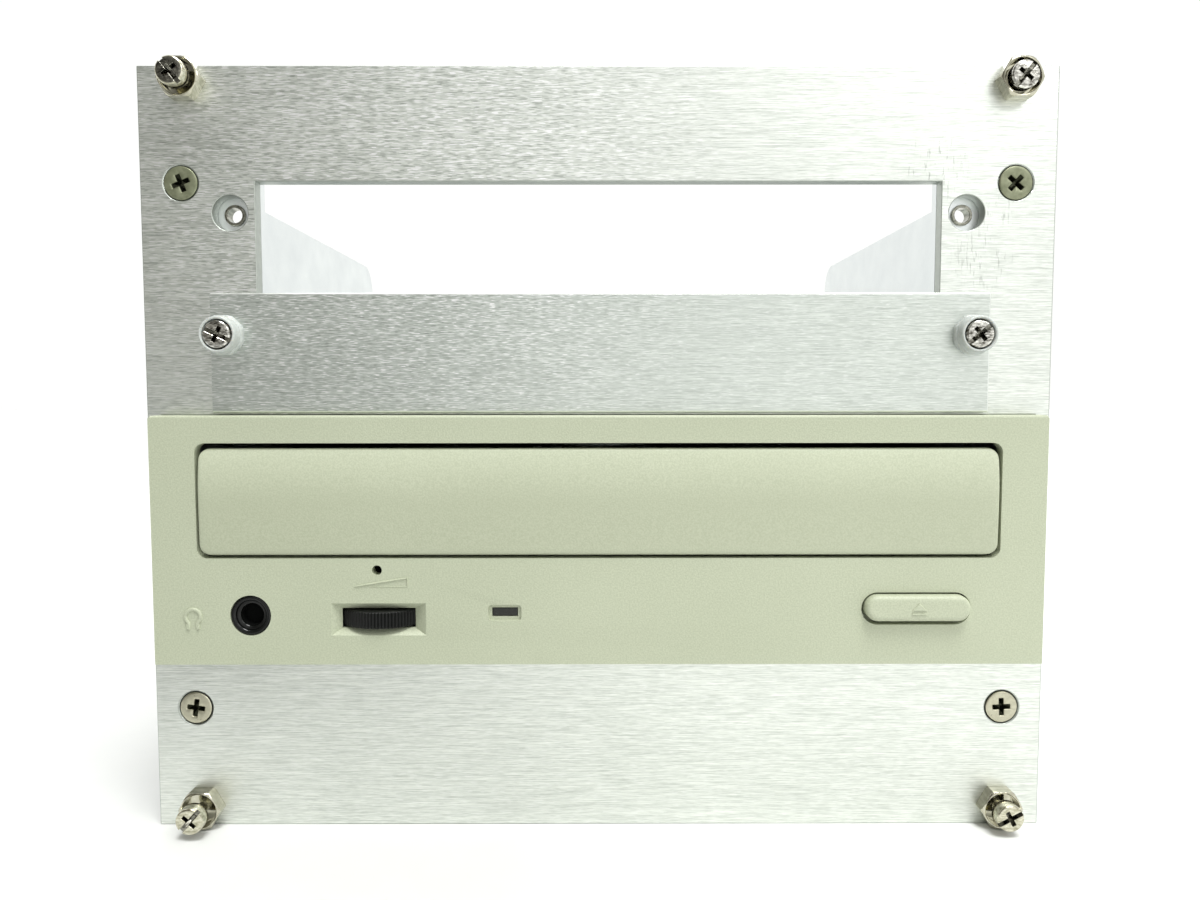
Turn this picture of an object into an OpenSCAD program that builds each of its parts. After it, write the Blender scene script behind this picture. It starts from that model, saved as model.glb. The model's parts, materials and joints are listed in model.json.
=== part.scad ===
// Rack module, 3 U high and 30 pitches wide: a front panel that carries a half-height
// 5.25 inch disc drive, with a 3.5 inch bay opening and its cover plate above the drive.
// Millimetres. X to the right, Y to the back, Z up.
// Origin: middle of the panel's bottom edge, half way through its thickness.

/* [Front panel] */
// Width of the panel
panel_w = 152.1; // [151.5:0.1:165]
// Height of the panel
panel_h = 128.4; // [126:0.1:140]
// Thickness of the panel
panel_t = 2.5; // [2:0.1:3.5]
// Distance of the corner screws from the panel's sides
fix_in = 7.47; // [6.5:0.01:8]
// Distance of the corner screws from the panel's top and bottom edges
fix_edge = 2.95; // [2.95:0.05:5]
// How far the corner screws sit to the right of the panel's middle line
fix_right = 0.33; // [0:0.01:0.4]
// How far the corner screws sit above the panel's mid-height
fix_up = 0.45; // [0.3:0.05:0.5]
// Distance of the bay opening from the panel's sides
bay_side = 19.05; // [18.5:0.05:22]
// Distance of the bay opening below the panel's top edge
bay_over = 18.8; // [17:0.1:22]
// Bar of panel between the drive opening and the bay opening
bar_h = 3; // [2:0.5:6]
// Countersunk screws: distance from the panel's sides
csk_in = 6.75; // [5.5:0.05:8]
// Countersunk screws: distance of the upper pair below the panel's top edge
csk_over = 19; // [14:0.1:20]
// Countersunk screws: height of the lower pair
csk_low = 20.6; // [12:0.1:22]
// Countersunk screws: diameter of the head
csk_d = 5.7; // [5:0.1:6]
// Clearance holes beside the bay: distance from its sides
ear_gap = 4.25; // [4:0.05:5]
// Clearance holes beside the bay: diameter
ear_d = 5.9; // [5:0.1:6]
// Clearance holes beside the bay: distance between the lower and the upper pair
ear_pitch = 20.3; // [18:0.1:22]

/* [Captive screws] */
// Head diameter
head_d = 4.6; // [4:0.1:4.8]
// Head height
head_h = 2.6; // [2:0.1:3.2]
// Thread diameter
thread_d = 2.4; // [2.2:0.1:2.8]
// Neck diameter
neck_d = 1.9; // [1.6:0.1:2]
// Width of the corner collars across their flats
collar_af = 6.4; // [6.3:0.1:6.5]
// Bore of the collars at its floor
collar_bore = 5.2; // [5:0.05:5.3]
// Bore of the corner collars at its mouth
collar_mouth = 5.8; // [5.4:0.05:5.9]
// How far the corner collars stand out of the panel
collar_proud = 2.6; // [2.2:0.1:5]
// Length of the corner screws under the head
fix_len = 13.5; // [12:0.5:18]
// Length of thread at the screw tips
thread_len = 5; // [4:0.5:6]
// How far the four corner screws stand out, loosened: top left
pull_tl = 2.3; // [2:0.1:3.2]
// How far the top right corner screw stands out
pull_tr = 0.4; // [0.2:0.1:3.2]
// How far the bottom left corner screw stands out
pull_bl = 3.2; // [1.5:0.1:3.2]
// How far the bottom right corner screw stands out
pull_br = 2.5; // [1.5:0.1:3.2]

/* [Cover plate] */
// How far the cover plate reaches past the bay opening's sides
cover_over = 7.75; // [7:0.05:8.5]
// Height of the cover plate
cover_h = 19.85; // [18:0.05:22]
// Thickness of the cover plate
cover_t = 1.5; // [1:0.1:2]
// How far the plate sits to the right of the middle
cover_shift = 0.3; // [0:0.1:0.5]
// Distance of the plate's screws from its sides
cover_screw_in = 2.65; // [2.6:0.05:4]
// Height of the plate's screws above its bottom edge
cover_screw_up = 12.85; // [10:0.05:14]
// How far the plastic sleeves stand out of the plate
sleeve_proud = 3.3; // [3:0.1:6]
// Outer diameter of the plastic sleeves
sleeve_d = 6.4; // [5.8:0.1:6.6]

/* [Brackets and rails] */
// Thickness of the sheet metal
sheet_t = 1.5; // [1.2:0.1:2]
// Depth of the bay brackets
bay_depth = 77; // [60:1:100]
// Bay brackets' side walls: distance of their top edge below the opening's top edge
bay_wall_under = 4.1; // [3:0.1:8]
// Corner radius of the bay brackets
bay_corner = 6.5; // [3:0.5:10]
// Depth of the rails beside the drive
rail_depth = 150; // [140:1:180]
// Diameter of the press-in nuts
nut_d = 3.5; // [3.3:0.1:3.8]

/* [Drive case] */
// Margin of the panel on each side of the drive's bezel
panel_side = 2.05; // [1.7:0.05:2.6]
// Height of the drive's bezel
bezel_h = 41.1; // [40.6:0.1:42.5]
// How far the bezel stands out of the panel
bezel_proud = 4.2; // [3.8:0.1:5]
// Height of the middle of the bezel
drive_z = 49.98; // [49:0.01:52]
// Bezel overlap over each side of the case
bezel_lip = 1; // [0.8:0.1:1.2]
// Depth of the case behind the bezel
case_depth = 190; // [188:1:205]
// Sheet thickness of the case
case_t = 1; // [0.8:0.1:1.2]
// Gap between the case and the panel's drive opening
case_gap = 0.6; // [0.4:0.1:0.7]

/* [Bezel features] */
// Margin of the bezel on each side of the tray door
door_margin = 8.1; // [7.5:0.1:9]
// Height of the tray door
door_h = 17.8; // [17:0.1:18.5]
// Height of the middle of the tray door
door_z = 56.8; // [56:0.1:57.5]
// Gap around the tray door
door_gap = 0.6; // [0.4:0.1:0.8]
// Headphone jack: distance from the bezel's left side
jack_in = 16.1; // [14:0.1:18]
// Headphone jack: diameter of the ring
jack_d = 6.6; // [6:0.1:7]
// Volume wheel: distance from the bezel's left side
wheel_in = 37.1; // [35:0.05:39]
// Volume wheel: diameter
wheel_d = 16; // [15:0.5:17]
// Volume wheel: thickness
wheel_t = 2.9; // [2.4:0.1:3.2]
// Activity light: distance from the bezel's left side
lamp_in = 58.35; // [56:0.05:61]
// Eject button: distance from the bezel's right side
button_in = 21.25; // [18:0.05:24]
// Eject button: width
button_w = 17.6; // [14:0.1:20]
// Eject button: height
button_h = 4.8; // [4:0.1:5.4]
// Eject button: how far it stands out
button_proud = 1.6; // [1.2:0.1:2.2]
// Eject button: travel
button_travel = 0.8; // [0.5:0.1:1]
// Height of the row of controls
row_z = 37.6; // [37:0.1:38.2]
// Emergency release hole: diameter
release_d = 1.65; // [1:0.05:2]

/* [Disc tray and loader] */
// Margin of the tray on each side of the disc
disc_edge = 3.9; // [3.4:0.1:4.4]
// Distance of the disc behind the panel's front face
disc_y = 9.25; // [8:0.25:11]
// Length of the tray behind the bezel
tray_len = 164; // [160:1:168]
// Thickness of the tray
tray_h = 6; // [5.5:0.1:6.5]
// How far the tray slides out
tray_travel = 140; // [130:1:145]
// Module of the loading gears
gear_m = 1; // [1:0.1:1]
// Teeth of the gear that drives the rack
drive_teeth = 22; // [20:1:23]
// Teeth of the belt pulley's pinion
pinion_teeth = 12; // [12:1:14]
// Thickness of the loading gears
gear_t = 3; // [2:0.1:3.2]

/* [Pickup mechanism] */
// Diameter of the turntable
turntable_d = 30; // [28:0.5:31]
// How far the pickup travels
sled_travel = 32; // [28:1:33]
// Diameter of the guide rods
rod_d = 3; // [2.5:0.1:3]
// Distance of the guide rods from the middle
rod_x = 22; // [21:0.5:23]
// Diameter of the clamping puck
puck_d = 27; // [24:0.5:28]

/* [Hidden] */
$fn = 48;
pf = -panel_t / 2;                    // front face of the panel
pb = panel_t / 2;                     // back face of the panel
fit = 0.05;                           // radial clearance of what turns or slides in a bore
gap = 0.3;                            // clearance between pieces that move past each other

bay_w = panel_w - 2 * bay_side;
bay_top = panel_h - bay_over;
bay_wall_top = bay_top - bay_wall_under;
csk_top = panel_h - csk_over;
bezel_w = panel_w - 2 * panel_side;
fix_x = panel_w / 2 - fix_in;
csk_x = panel_w / 2 - csk_in;
ear_x = bay_w / 2 + ear_gap;          // clearance holes beside the open bay
fix_z = [fix_edge + fix_up, panel_h - fix_edge + fix_up];
collar_web = 0.6;                     // floor of a corner collar in front of the panel
collar_spigot = 4;                    // press-in spigot of a corner collar

case_w = bezel_w - 2 * bezel_lip;
case_h = bezel_h - 0.5;
case_z0 = drive_z - case_h / 2;
case_z1 = drive_z + case_h / 2;
case_y1 = pf + case_depth;
case_in = case_w / 2 - case_t;        // inside face of the case's sides
open_w = case_w + 2 * case_gap;
open_z0 = case_z0 - case_gap;
open_z1 = case_z1 + case_gap;
bay_z0 = open_z1 + bar_h;

cover_w = bay_w + 2 * cover_over;
plate_x = cover_w / 2 - cover_screw_in; // screws of the cover plate
cover_z0 = open_z1 + 0.45;
cover_front = pf - cover_t;
cover_screw_z = cover_z0 + cover_screw_up;
ear_z = [cover_screw_z, cover_screw_z + ear_pitch];
bay_holes = [[plate_x, ear_z[0]], [ear_x, ear_z[1]]];
sleeve_bore = collar_bore;
sleeve_web = 0.6;
flange_t = sheet_t + 0.5;             // flange thickness behind the panel, tapped
flange_back = pb + flange_t;

bay_in = bay_w / 2;                   // inside face of the bay brackets
rail_in = case_w / 2 + gap;           // inside face of the rails
rail_out = rail_in + sheet_t;
lip_z0 = case_z1 + 0.7;               // lip of the rails above the drive
lip_z1 = lip_z0 + sheet_t;
side_hole_y = [pf + 52.3, pf + 131.5];
side_hole_z = case_z0 + 10;
lid_screw_y = [20, case_y1 - 20];     // screws in the sides of the drive's lid
lid_screw_z = case_z1 - 5;
joint_y = [22, 60];                   // screws between the bay brackets and the rails
joint_x = bay_in + sheet_t + 6;

bf = pf - bezel_proud;                // front face of the bezel
wall = 2.2;                           // wall of the moulded bezel
door_w = bezel_w - 2 * door_margin;
door_proud = 0.5;
door_t = 3.2;
door_back = bf - door_proud + door_t;
pocket = 1.6;                         // depth of the pocket around the volume wheel
window_w = 12.1;
window_h = 3.3;
jack_x = bezel_w / 2 - jack_in;       // left of the middle, as are the wheel and the light
wheel_x = bezel_w / 2 - wheel_in;
lamp_x = bezel_w / 2 - lamp_in;
button_x = bezel_w / 2 - button_in;
wheel_z = row_z - 0.65;
chord = (window_w - 0.6) / 2;
wheel_y = bf + pocket + sqrt(pow(wheel_d / 2, 2) - pow(chord, 2));
jack_z = row_z + 0.1;
lamp_w = 4.3;
lamp_h = 1.5;
lamp_z = row_z + 0.6;
button_z = row_z + 1.2;
release_x = wheel_x - 0.1;
release_z = 45.3;

tray_w = door_w - 4;
tray_z1 = door_z + 1.4;
tray_z0 = tray_z1 - tray_h;
tray_y0 = door_back;
tray_y1 = pf + tray_len;
disc_d = tray_w - 2 * disc_edge;
disc_cy = pf + disc_y + disc_d / 2;
slot_w = turntable_d + 10;            // slot of the tray, open to the back
well_z = tray_z1 - 3.2;               // ledge that the disc lies on
rack_h = 4.4;
rack_t = 3;
rack_x = 10.9 - tray_w / 2;           // pitch line of the rack
frame_out = case_in - 0.6;            // outer faces of the loader frame
frame_y0 = 5;
frame_y1 = case_y1 - 14;
ledge_z1 = tray_z0 - gap;             // ledges that carry the tray
deck_z1 = ledge_z1 - 7.3;             // deck that carries the gears
deck_t = 1.5;
belt_z0 = deck_z1 + 0.6;
belt_h = 2;
gear_z0 = belt_z0 + belt_h + 0.4;
drive_r = gear_m * drive_teeth / 2;
pinion_r = gear_m * pinion_teeth / 2;
backlash = 0.12;
gear_y = 20;
drive_gx = rack_x + drive_r;
pulley_x = drive_gx + drive_r + pinion_r;
pulley_r = 12.5;
motor_x = 22;
motor_pulley_r = 3.5;
motor_r = 10.5;
belt_t = 1.2;
post_d = 3;

lift_y = disc_cy + 82;                // hinge of the pickup mechanism
lift_z = 46.5;
lift_x = 40;                          // half width of the lifting frame
lug_w = 2.8;                          // thickness of the lugs that carry its hinge pins
lift_y0 = disc_cy - turntable_d / 2 - 7;
lift_z0 = deck_z1 - 0.4;
lift_z1 = lift_z0 + 2.2;
window_y0 = lift_y0 + 9;              // window of the lifting frame
window_y1 = lift_y - 10.8;
plate_z0 = lift_z1 + 1.6;             // steel plate on the rubber mounts
plate_z1 = plate_z0 + 1;
mount_d = 7;
mount_xy = [for (x = [-34, 34], y = [lift_y0 + 4.7, lift_y - 6.5]) [x, y]];
table_z1 = tray_z1 - 1.8;             // top face of the turntable
table_t = 2.6;
spindle_d = 2;
spindle_r = 12;                       // spindle motor's body
spindle_z0 = lift_z0 - 0.4;
lens_y = disc_cy + 26;                // lens at the first track
sled_len = 24;
sled_w = rod_x + rod_d / 2 + 1.7;     // half width of the pickup sled
sled_y0 = lens_y - sled_len / 2;
sled_z0 = lift_z0 + 1;
sled_z1 = ledge_z1 - 0.5;
rod_z = (plate_z0 + plate_z1) / 2;
rod_y = [sled_y0 - 2.5, sled_y0 + sled_len + sled_travel + 2.5];
screw_x = 31;                         // lead screw beside the sled
screw_z = rod_z - 1.9;
screw_r = 1.8;
nut_len = 6;
drive_y = [lift_y - 26, lift_y - 11.5]; // ends of the sled motor
drive_motor_r = 5;

bridge_z0 = tray_z1 + 4.5;
bridge_t = 1;
board_z0 = case_z0 + case_t + 2.2;
board_t = 1.6;
board_z1 = board_z0 + board_t;
board_y = [30, case_y1 - 2.5];
front_board_y = [bf + wall + 0.7, 27];
front_board_x = case_in - 6;
board_screw_y = [front_board_y[1] - 4, board_y[0] + 5, board_y[1] - 16];
board_x = case_in - 12;
spread = board_x / 60;                // plugs and packages keep their share of the board's width
plug_y = case_y1 - 10;                // front of the connectors' bodies
data_x = -8 * spread;
data_w = 58;
power_x = -56 * spread;
power_w = 21;
jumper_x = 34 * spread;
jumper_w = 12;
audio_x = 52 * spread;
audio_w = 12;

// ---- Shared shapes ----

// What is drawn as seen from the front, thickened from y0 back to y1
module front_slab(y0, y1) translate([0, y1, 0]) rotate([90, 0, 0]) linear_extrude(y1 - y0) children();

// What is drawn as seen from above, thickened from z0 up to z1
module level_slab(z0, z1) translate([0, 0, z0]) linear_extrude(z1 - z0) children();

// What is drawn in Y and Z, thickened from x0 to x1
module side_slab(x0, x1) translate([x0, 0, 0]) rotate([90, 0, 90]) linear_extrude(x1 - x0) children();

// A box from its two corners
module block(a, b) translate(a) cube(b - a);

// A turned piece whose axis runs back from the point p
module turned_back(p) translate(p) rotate([-90, 0, 0]) rotate_extrude() children();

module rounded(w, h, r) {
  square([w - 2 * r, h], center = true);
  square([w, h - 2 * r], center = true);
  for (sx = [-1, 1], sy = [-1, 1]) translate([sx * (w / 2 - r), sy * (h / 2 - r)]) circle(r);
}

module both_sides() {
  children();
  mirror([1, 0, 0]) children();
}

// Cross recess of a Phillips head, sunk from the plane y back by deep
module cross_recess(x, z, y, size, deep, turn) {
  front_slab(y - 0.5, y + deep) translate([x, z]) rotate(turn) {
    square([size, size * 0.26], center = true);
    square([size * 0.26, size], center = true);
  }
}

// ---- Front panel and what is fixed to it ----

module front_panel() {
  color("silver") difference() {
    block([-panel_w / 2, pf, 0], [panel_w / 2, pb, panel_h]);
    block([-open_w / 2, pf - 1, open_z0], [open_w / 2, pb + 1, open_z1]);
    block([-bay_w / 2, pf - 1, bay_z0], [bay_w / 2, pb + 1, bay_top]);
    front_slab(pf - 1, pb + 1) for (sx = [-1, 1]) {
      for (z = fix_z) translate([sx * fix_x + fix_right, z]) circle(d = collar_spigot);
      for (h = bay_holes) translate([sx * h[0], h[1]]) circle(d = ear_d);
    }
    for (sx = [-1, 1], z = [csk_top, csk_low]) turned_back([sx * csk_x, pf, z])
      polygon([[0, -1], [csk_d / 2 + 0.1, -1], [csk_d / 2 + 0.1, 0.25], [1.6, csk_d / 2 - 1.3],
               [1.6, panel_t + 1], [0, panel_t + 1]]);
  }
}

// Hexagonal collar pressed into each corner hole; the screw head floats in its mouth
module panel_collars() {
  color("silver") for (sx = [-1, 1], z = fix_z) difference() {
    union() {
      intersection() {
        front_slab(pf - collar_proud, pf) translate([sx * fix_x + fix_right, z])
          circle(d = collar_af / cos(30), $fn = 6);
        turned_back([sx * fix_x + fix_right, pf - collar_proud, z])
          polygon([[0, 0], [collar_af / 2 + 0.12, 0], [collar_af / 2 + 0.6, 0.4],
                   [collar_af / 2 + 0.6, collar_proud], [0, collar_proud]]);
      }
      front_slab(pf, pb) translate([sx * fix_x + fix_right, z]) circle(d = collar_spigot);
    }
    turned_back([sx * fix_x + fix_right, pf - collar_proud - 1, z])
      polygon([[0, 0], [collar_mouth / 2, 0], [collar_mouth / 2, 1],
               [collar_bore / 2, collar_proud + 1 - collar_web],
               [neck_d / 2 + fit + 0.1, collar_proud + 1 - collar_web],
               [neck_d / 2 + fit + 0.1, collar_proud + panel_t + 2], [0, collar_proud + panel_t + 2]]);
  }
}

module countersunk_screws() {
  color("silver") for (sx = [-1, 1], z = [csk_top, csk_low]) difference() {
    turned_back([sx * csk_x, pf + 0.02, z])
      polygon([[0, 0], [csk_d / 2, 0], [csk_d / 2, 0.2], [1.45, csk_d / 2 - 1.3],
               [1.45, 7], [1.1, 7.4], [0, 7.4]]);
    cross_recess(sx * csk_x, z, pf, 2.9, 1.3, z == csk_low ? 8 : (sx < 0 ? 22 : 48));
  }
}

// A captive screw: head, thin neck and a threaded tip that can't pass back through the neck's hole
module captive_screw(x, z, seat, out, len, tip, turn) {
  y = seat - out;
  difference() {
    turned_back([x, y - head_h, z])
      polygon([[0, 0], [head_d / 2 - 0.35, 0], [head_d / 2, 0.35], [head_d / 2, head_h],
               [neck_d / 2, head_h], [neck_d / 2, head_h + len - tip - 0.3],
               [thread_d / 2, head_h + len - tip], [thread_d / 2, head_h + len - 0.5],
               [thread_d / 2 - 0.4, head_h + len], [0, head_h + len]]);
    front_slab(y - head_h - 1, y - head_h + 0.7) translate([x, z]) rotate(turn)
      square([head_d + 1, 0.75], center = true);
    cross_recess(x, z, y - head_h, head_d * 0.55, 1.4, turn + 4);
  }
}

fix_seat = pf - collar_web;
module panel_screw_top_left() color("silver")
  captive_screw(fix_right - fix_x, fix_z[1], fix_seat, pull_tl, fix_len, thread_len, 35);
module panel_screw_top_right() color("silver")
  captive_screw(fix_right + fix_x, fix_z[1], fix_seat, pull_tr, fix_len, thread_len, 52);
module panel_screw_bottom_left() color("silver")
  captive_screw(fix_right - fix_x, fix_z[0], fix_seat, pull_bl, fix_len, thread_len, 48);
module panel_screw_bottom_right() color("silver")
  captive_screw(fix_right + fix_x, fix_z[0], fix_seat, pull_br, fix_len, thread_len, 30);

module cover_plate() {
  color("silver") difference() {
    block([cover_shift - cover_w / 2, cover_front, cover_z0],
          [cover_shift + cover_w / 2, pf, cover_z0 + cover_h]);
    front_slab(cover_front - 1, pf + 1) for (sx = [-1, 1])
      translate([sx * plate_x, cover_screw_z]) circle(d = collar_spigot);
  }
}

// Plastic sleeve snapped into each hole of the cover plate
module cover_sleeves() {
  color("gainsboro") for (sx = [-1, 1]) difference() {
    union() {
      turned_back([sx * plate_x, cover_front - sleeve_proud, cover_screw_z])
        polygon([[0, 0], [sleeve_d / 2 - 0.3, 0], [sleeve_d / 2, 0.3],
                 [sleeve_d / 2, sleeve_proud], [0, sleeve_proud]]);
      front_slab(cover_front - 1.2, cover_front) translate([sx * plate_x, cover_screw_z])
        rotate(22.5) circle(d = (sleeve_d + 0.1) / cos(22.5), $fn = 8);
      front_slab(cover_front, pf) translate([sx * plate_x, cover_screw_z]) circle(d = collar_spigot);
    }
    turned_back([sx * plate_x, cover_front - sleeve_proud - 1, cover_screw_z])
      polygon([[0, 0], [sleeve_bore / 2, 0], [sleeve_bore / 2, sleeve_proud + 1 - sleeve_web],
               [neck_d / 2 + fit + 0.1, sleeve_proud + 1 - sleeve_web],
               [neck_d / 2 + fit + 0.1, sleeve_proud + cover_t + 2], [0, sleeve_proud + cover_t + 2]]);
  }
}

cover_seat = cover_front - sleeve_web;
cover_pull = 0.2;                     // how far the plate's screws stand out of their seats
cover_len = cover_pull + sleeve_web + cover_t + panel_t + flange_t + 1.6;
cover_tip = flange_t + 1;
module cover_screw_left() color("silver")
  captive_screw(-plate_x, cover_screw_z, cover_seat, cover_pull, cover_len, cover_tip, -25);
module cover_screw_right() color("silver")
  captive_screw(plate_x, cover_screw_z, cover_seat, cover_pull, cover_len, cover_tip, 40);

// Press-in nuts in the brackets' flanges; their noses stand in the clearance holes
module press_nuts() {
  color("silver") front_slab(pb - 0.5, flange_back) for (sx = [-1, 1], h = bay_holes)
    translate([sx * h[0], h[1]]) difference() {
      circle(d = nut_d);
      circle(d = thread_d + 2 * fit);
    }
}

// ---- Brackets behind the panel ----

module bay_bracket() {
  color("lightgray") {
    difference() {
      union() {
        side_slab(bay_in, bay_in + sheet_t) {
          polygon([[pb, lip_z1], [bay_depth, lip_z1], [bay_depth, bay_wall_top - bay_corner],
                   [bay_depth - bay_corner, bay_wall_top], [pb, bay_wall_top]]);
          translate([bay_depth - bay_corner, bay_wall_top - bay_corner]) circle(bay_corner);
        }
        block([bay_in, pb, lip_z1], [rail_out, flange_back, csk_top + 5]);
        block([bay_in, pb, lip_z1], [rail_out - 1, bay_depth, lip_z1 + sheet_t]);
      }
      front_slab(pb - 1, flange_back + 1) {
        for (h = bay_holes) translate(h) circle(d = nut_d);
        translate([csk_x, csk_top]) circle(d = 3);
      }
      level_slab(lip_z1 - 1, lip_z1 + sheet_t + 1)
        for (y = joint_y) translate([joint_x, y]) circle(d = 3.2);
    }
  }
}
module bay_bracket_right() bay_bracket();
module bay_bracket_left() mirror([1, 0, 0]) bay_bracket();

// Rail beside the drive: it reaches the bench, takes the drive's side screws and the lower panel screw
module drive_rail() {
  color("lightgray") difference() {
    union() {
      block([rail_in, pb, 0], [rail_out, rail_depth, lip_z1]);
      block([fix_x - 8, pb, 0], [rail_out, flange_back, open_z0 - 1]);
      block([bay_in, pb, lip_z0], [rail_out, bay_depth, lip_z1]);
      block([rail_in - 9, pb, 0], [rail_out, rail_depth, sheet_t]);
    }
    front_slab(pb - 1, flange_back + 1) {
      translate([csk_x, csk_low]) circle(d = 3);
      translate([fix_x, fix_z[0]]) circle(d = collar_spigot);
    }
    block([fix_x - 3, pb - 1, -1], [fix_x + 3, pb + 12, fix_z[0] + 3]);
    side_slab(rail_in - 1, rail_out + 1) {
      for (y = side_hole_y) translate([y, side_hole_z]) circle(d = 3.4);
      // clearance around the heads of the drive's cover screws
      for (y = lid_screw_y) translate([y, lid_screw_z]) circle(d = 5);
    }
    level_slab(lip_z0 - 1, lip_z1 + 1) for (y = joint_y) translate([joint_x, y]) circle(d = 2.6);
  }
}
module drive_rail_right() drive_rail();
module drive_rail_left() mirror([1, 0, 0]) drive_rail();

// A pan-head screw that points down from the point p, or in along -X when lying
module pan_screw(shank_d, len, pan_d, pan_h) difference() {
  rotate_extrude() polygon([[0, pan_h], [pan_d / 2 - pan_h / 2, pan_h], [pan_d / 2, pan_h / 2],
    [pan_d / 2, 0], [shank_d / 2, 0], [shank_d / 2, -len], [0, -len]]);
  translate([0, 0, pan_h * 0.4]) linear_extrude(pan_h) {
    square([pan_d * 0.55, 0.6], center = true);
    square([0.6, pan_d * 0.55], center = true);
  }
}

module bracket_screws() {
  color("silver") both_sides() for (y = joint_y)
    translate([joint_x, y, lip_z1 + sheet_t]) pan_screw(2.5, sheet_t + 1.6, 5, 1.6);
}

module drive_side_screws() {
  color("silver") both_sides() for (y = side_hole_y)
    translate([rail_out, y, side_hole_z]) rotate([0, 90, 0])
      pan_screw(2.8, sheet_t + gap + case_t + 1, 5.2, 1);
}

// ---- Drive case ----

module board_screw_points() both_sides()
  for (y = board_screw_y) translate([board_x - 4, y]) children();

module case_tray() {
  color("darkgray") difference() {
    union() {
      block([-case_w / 2, pb - panel_t, case_z0], [case_w / 2, case_y1, case_z0 + case_t]);
      both_sides() block([case_in, pf, case_z0], [case_w / 2, case_y1, case_z1 - case_t - 0.2]);
      block([-case_w / 2, case_y1 - case_t, case_z0], [case_w / 2, case_y1, case_z1 - case_t - 0.2]);
      // bosses under the boards
      level_slab(case_z0, board_z0) board_screw_points() circle(d = 6);
    }
    side_slab(-case_w / 2 - 1, case_w / 2 + 1)
      for (y = side_hole_y) translate([y, side_hole_z]) circle(d = 2.8 + 2 * fit);
    // openings in the back wall
    plug_hole(data_x, data_w);
    plug_hole(power_x, power_w);
    plug_hole(jumper_x, jumper_w);
    plug_hole(audio_x, audio_w);
    side_slab(-case_w / 2 - 1, case_w / 2 + 1)
      for (y = lid_screw_y) translate([y, lid_screw_z]) circle(d = 2);
    // blind holes in the bosses
    level_slab(board_z0 - 1.6, board_z0 + 1) board_screw_points() circle(d = 2);
  }
}
module plug_hole(x, w)
  block([x - w / 2 - 0.3, case_y1 - case_t - 1, board_z1 - 0.2],
        [x + w / 2 + 0.3, case_y1 + 1, board_z1 + 10]);

// Lid with lips that reach down inside the tray's sides
module case_cover() {
  color("darkgray") difference() {
    union() {
      block([-case_w / 2, pf, case_z1 - case_t], [case_w / 2, case_y1, case_z1]);
      both_sides() block([case_in - case_t - 0.1, frame_y0, case_z1 - 8],
                         [case_in - 0.1, case_y1 - 12, case_z1 - case_t]);
      // stiffening step pressed into the lid
      block([-45, 25, case_z1 - case_t - 0.5], [45, 130, case_z1 - case_t]);
    }
    block([-44, 26, case_z1 - 0.5], [44, 129, case_z1 + 1]);
    side_slab(-case_w / 2, case_w / 2)
      for (y = lid_screw_y) translate([y, lid_screw_z]) circle(d = 2);
  }
}

module case_screws() {
  color("silver") both_sides() for (y = lid_screw_y)
    translate([case_w / 2, y, lid_screw_z]) rotate([0, 90, 0]) pan_screw(1.9, 2.6, 3.6, 0.5);
}

module board_screws() {
  color("silver") board_screw_points() translate([0, 0, board_z1]) pan_screw(1.9, board_t + 1.4, 4, 1.2);
}

// ---- Bezel and its controls ----

module pocket_shape() {
  // four-sided bevel around the volume wheel
  hull() {
    front_slab(bf - 0.01, bf) translate([-wheel_x + 0.25, wheel_z + 0.1])
      square([15.8, 5.4], center = true);
    front_slab(bf + pocket, bf + pocket + 0.01) translate([-wheel_x, wheel_z])
      square([window_w, window_h], center = true);
  }
}

module bezel() {
  color([0.86, 0.87, 0.77]) {
    difference() {
      front_slab(bf, pf) translate([0, drive_z]) square([bezel_w, bezel_h], center = true);
      // hollow behind the front wall
      front_slab(bf + wall, pf + 0.01) translate([0, drive_z])
        square([case_w - 2 * wall, bezel_h - 2 * wall], center = true);
      // slot for the door
      front_slab(bf - 1, pf + 1) translate([0, door_z + 0.05])
        rounded(door_w + 2 * door_gap, door_h + 2 * door_gap + 0.1, 1.6);
      front_slab(bf - 1, pf + 1) {
        translate([-jack_x, jack_z]) circle(d = jack_d + 0.2);
        translate([-release_x, release_z]) circle(d = release_d);
        translate([-wheel_x, wheel_z]) square([window_w, window_h], center = true);
        translate([-lamp_x, lamp_z]) square([lamp_w, lamp_h], center = true);
        translate([button_x, button_z])
          rounded(button_w + 2 * gap, button_h + 2 * gap, button_h / 2 + gap - 0.01);
      }
      pocket_shape();
      level_slab(wheel_z - wheel_t / 2 - 0.2, wheel_z + wheel_t / 2 + 0.2)
        translate([-wheel_x, wheel_y]) circle(d = wheel_d + 2 * gap);
      front_slab(bf - 1, bf + 0.5) translate([-lamp_x, lamp_z - 0.05]) rounded(5.5, 2.6, 0.6);
    }
    // tongues that pass the panel and grip the case
    both_sides() block([case_in - 1.8, bf + wall - 0.2, case_z0 + 4], [case_in, pb + 2, case_z0 + 14]);
  }
}

// Door on the front of the tray, crowned up and down, with its edges eased
module tray_door() {
  y0 = bf - door_proud;
  crown = 45;                         // radius of the crown
  color([0.88, 0.88, 0.79]) intersection() {
    front_slab(y0 - 1, y0 + door_t) translate([0, door_z]) rounded(door_w, door_h, 1.8);
    side_slab(-door_w / 2, door_w / 2) translate([y0 + crown, door_z]) circle(crown, $fn = 180);
    level_slab(door_z - door_h, door_z + door_h) {
      translate([0, y0 + door_t / 2 + 0.8]) square([door_w, door_t - 1.6], center = true);
      translate([0, y0 + door_t / 2]) square([door_w - 1.6, door_t], center = true);
      for (sx = [-1, 1]) translate([sx * (door_w / 2 - 0.8), y0 + 0.8]) circle(0.8);
    }
  }
}

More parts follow.
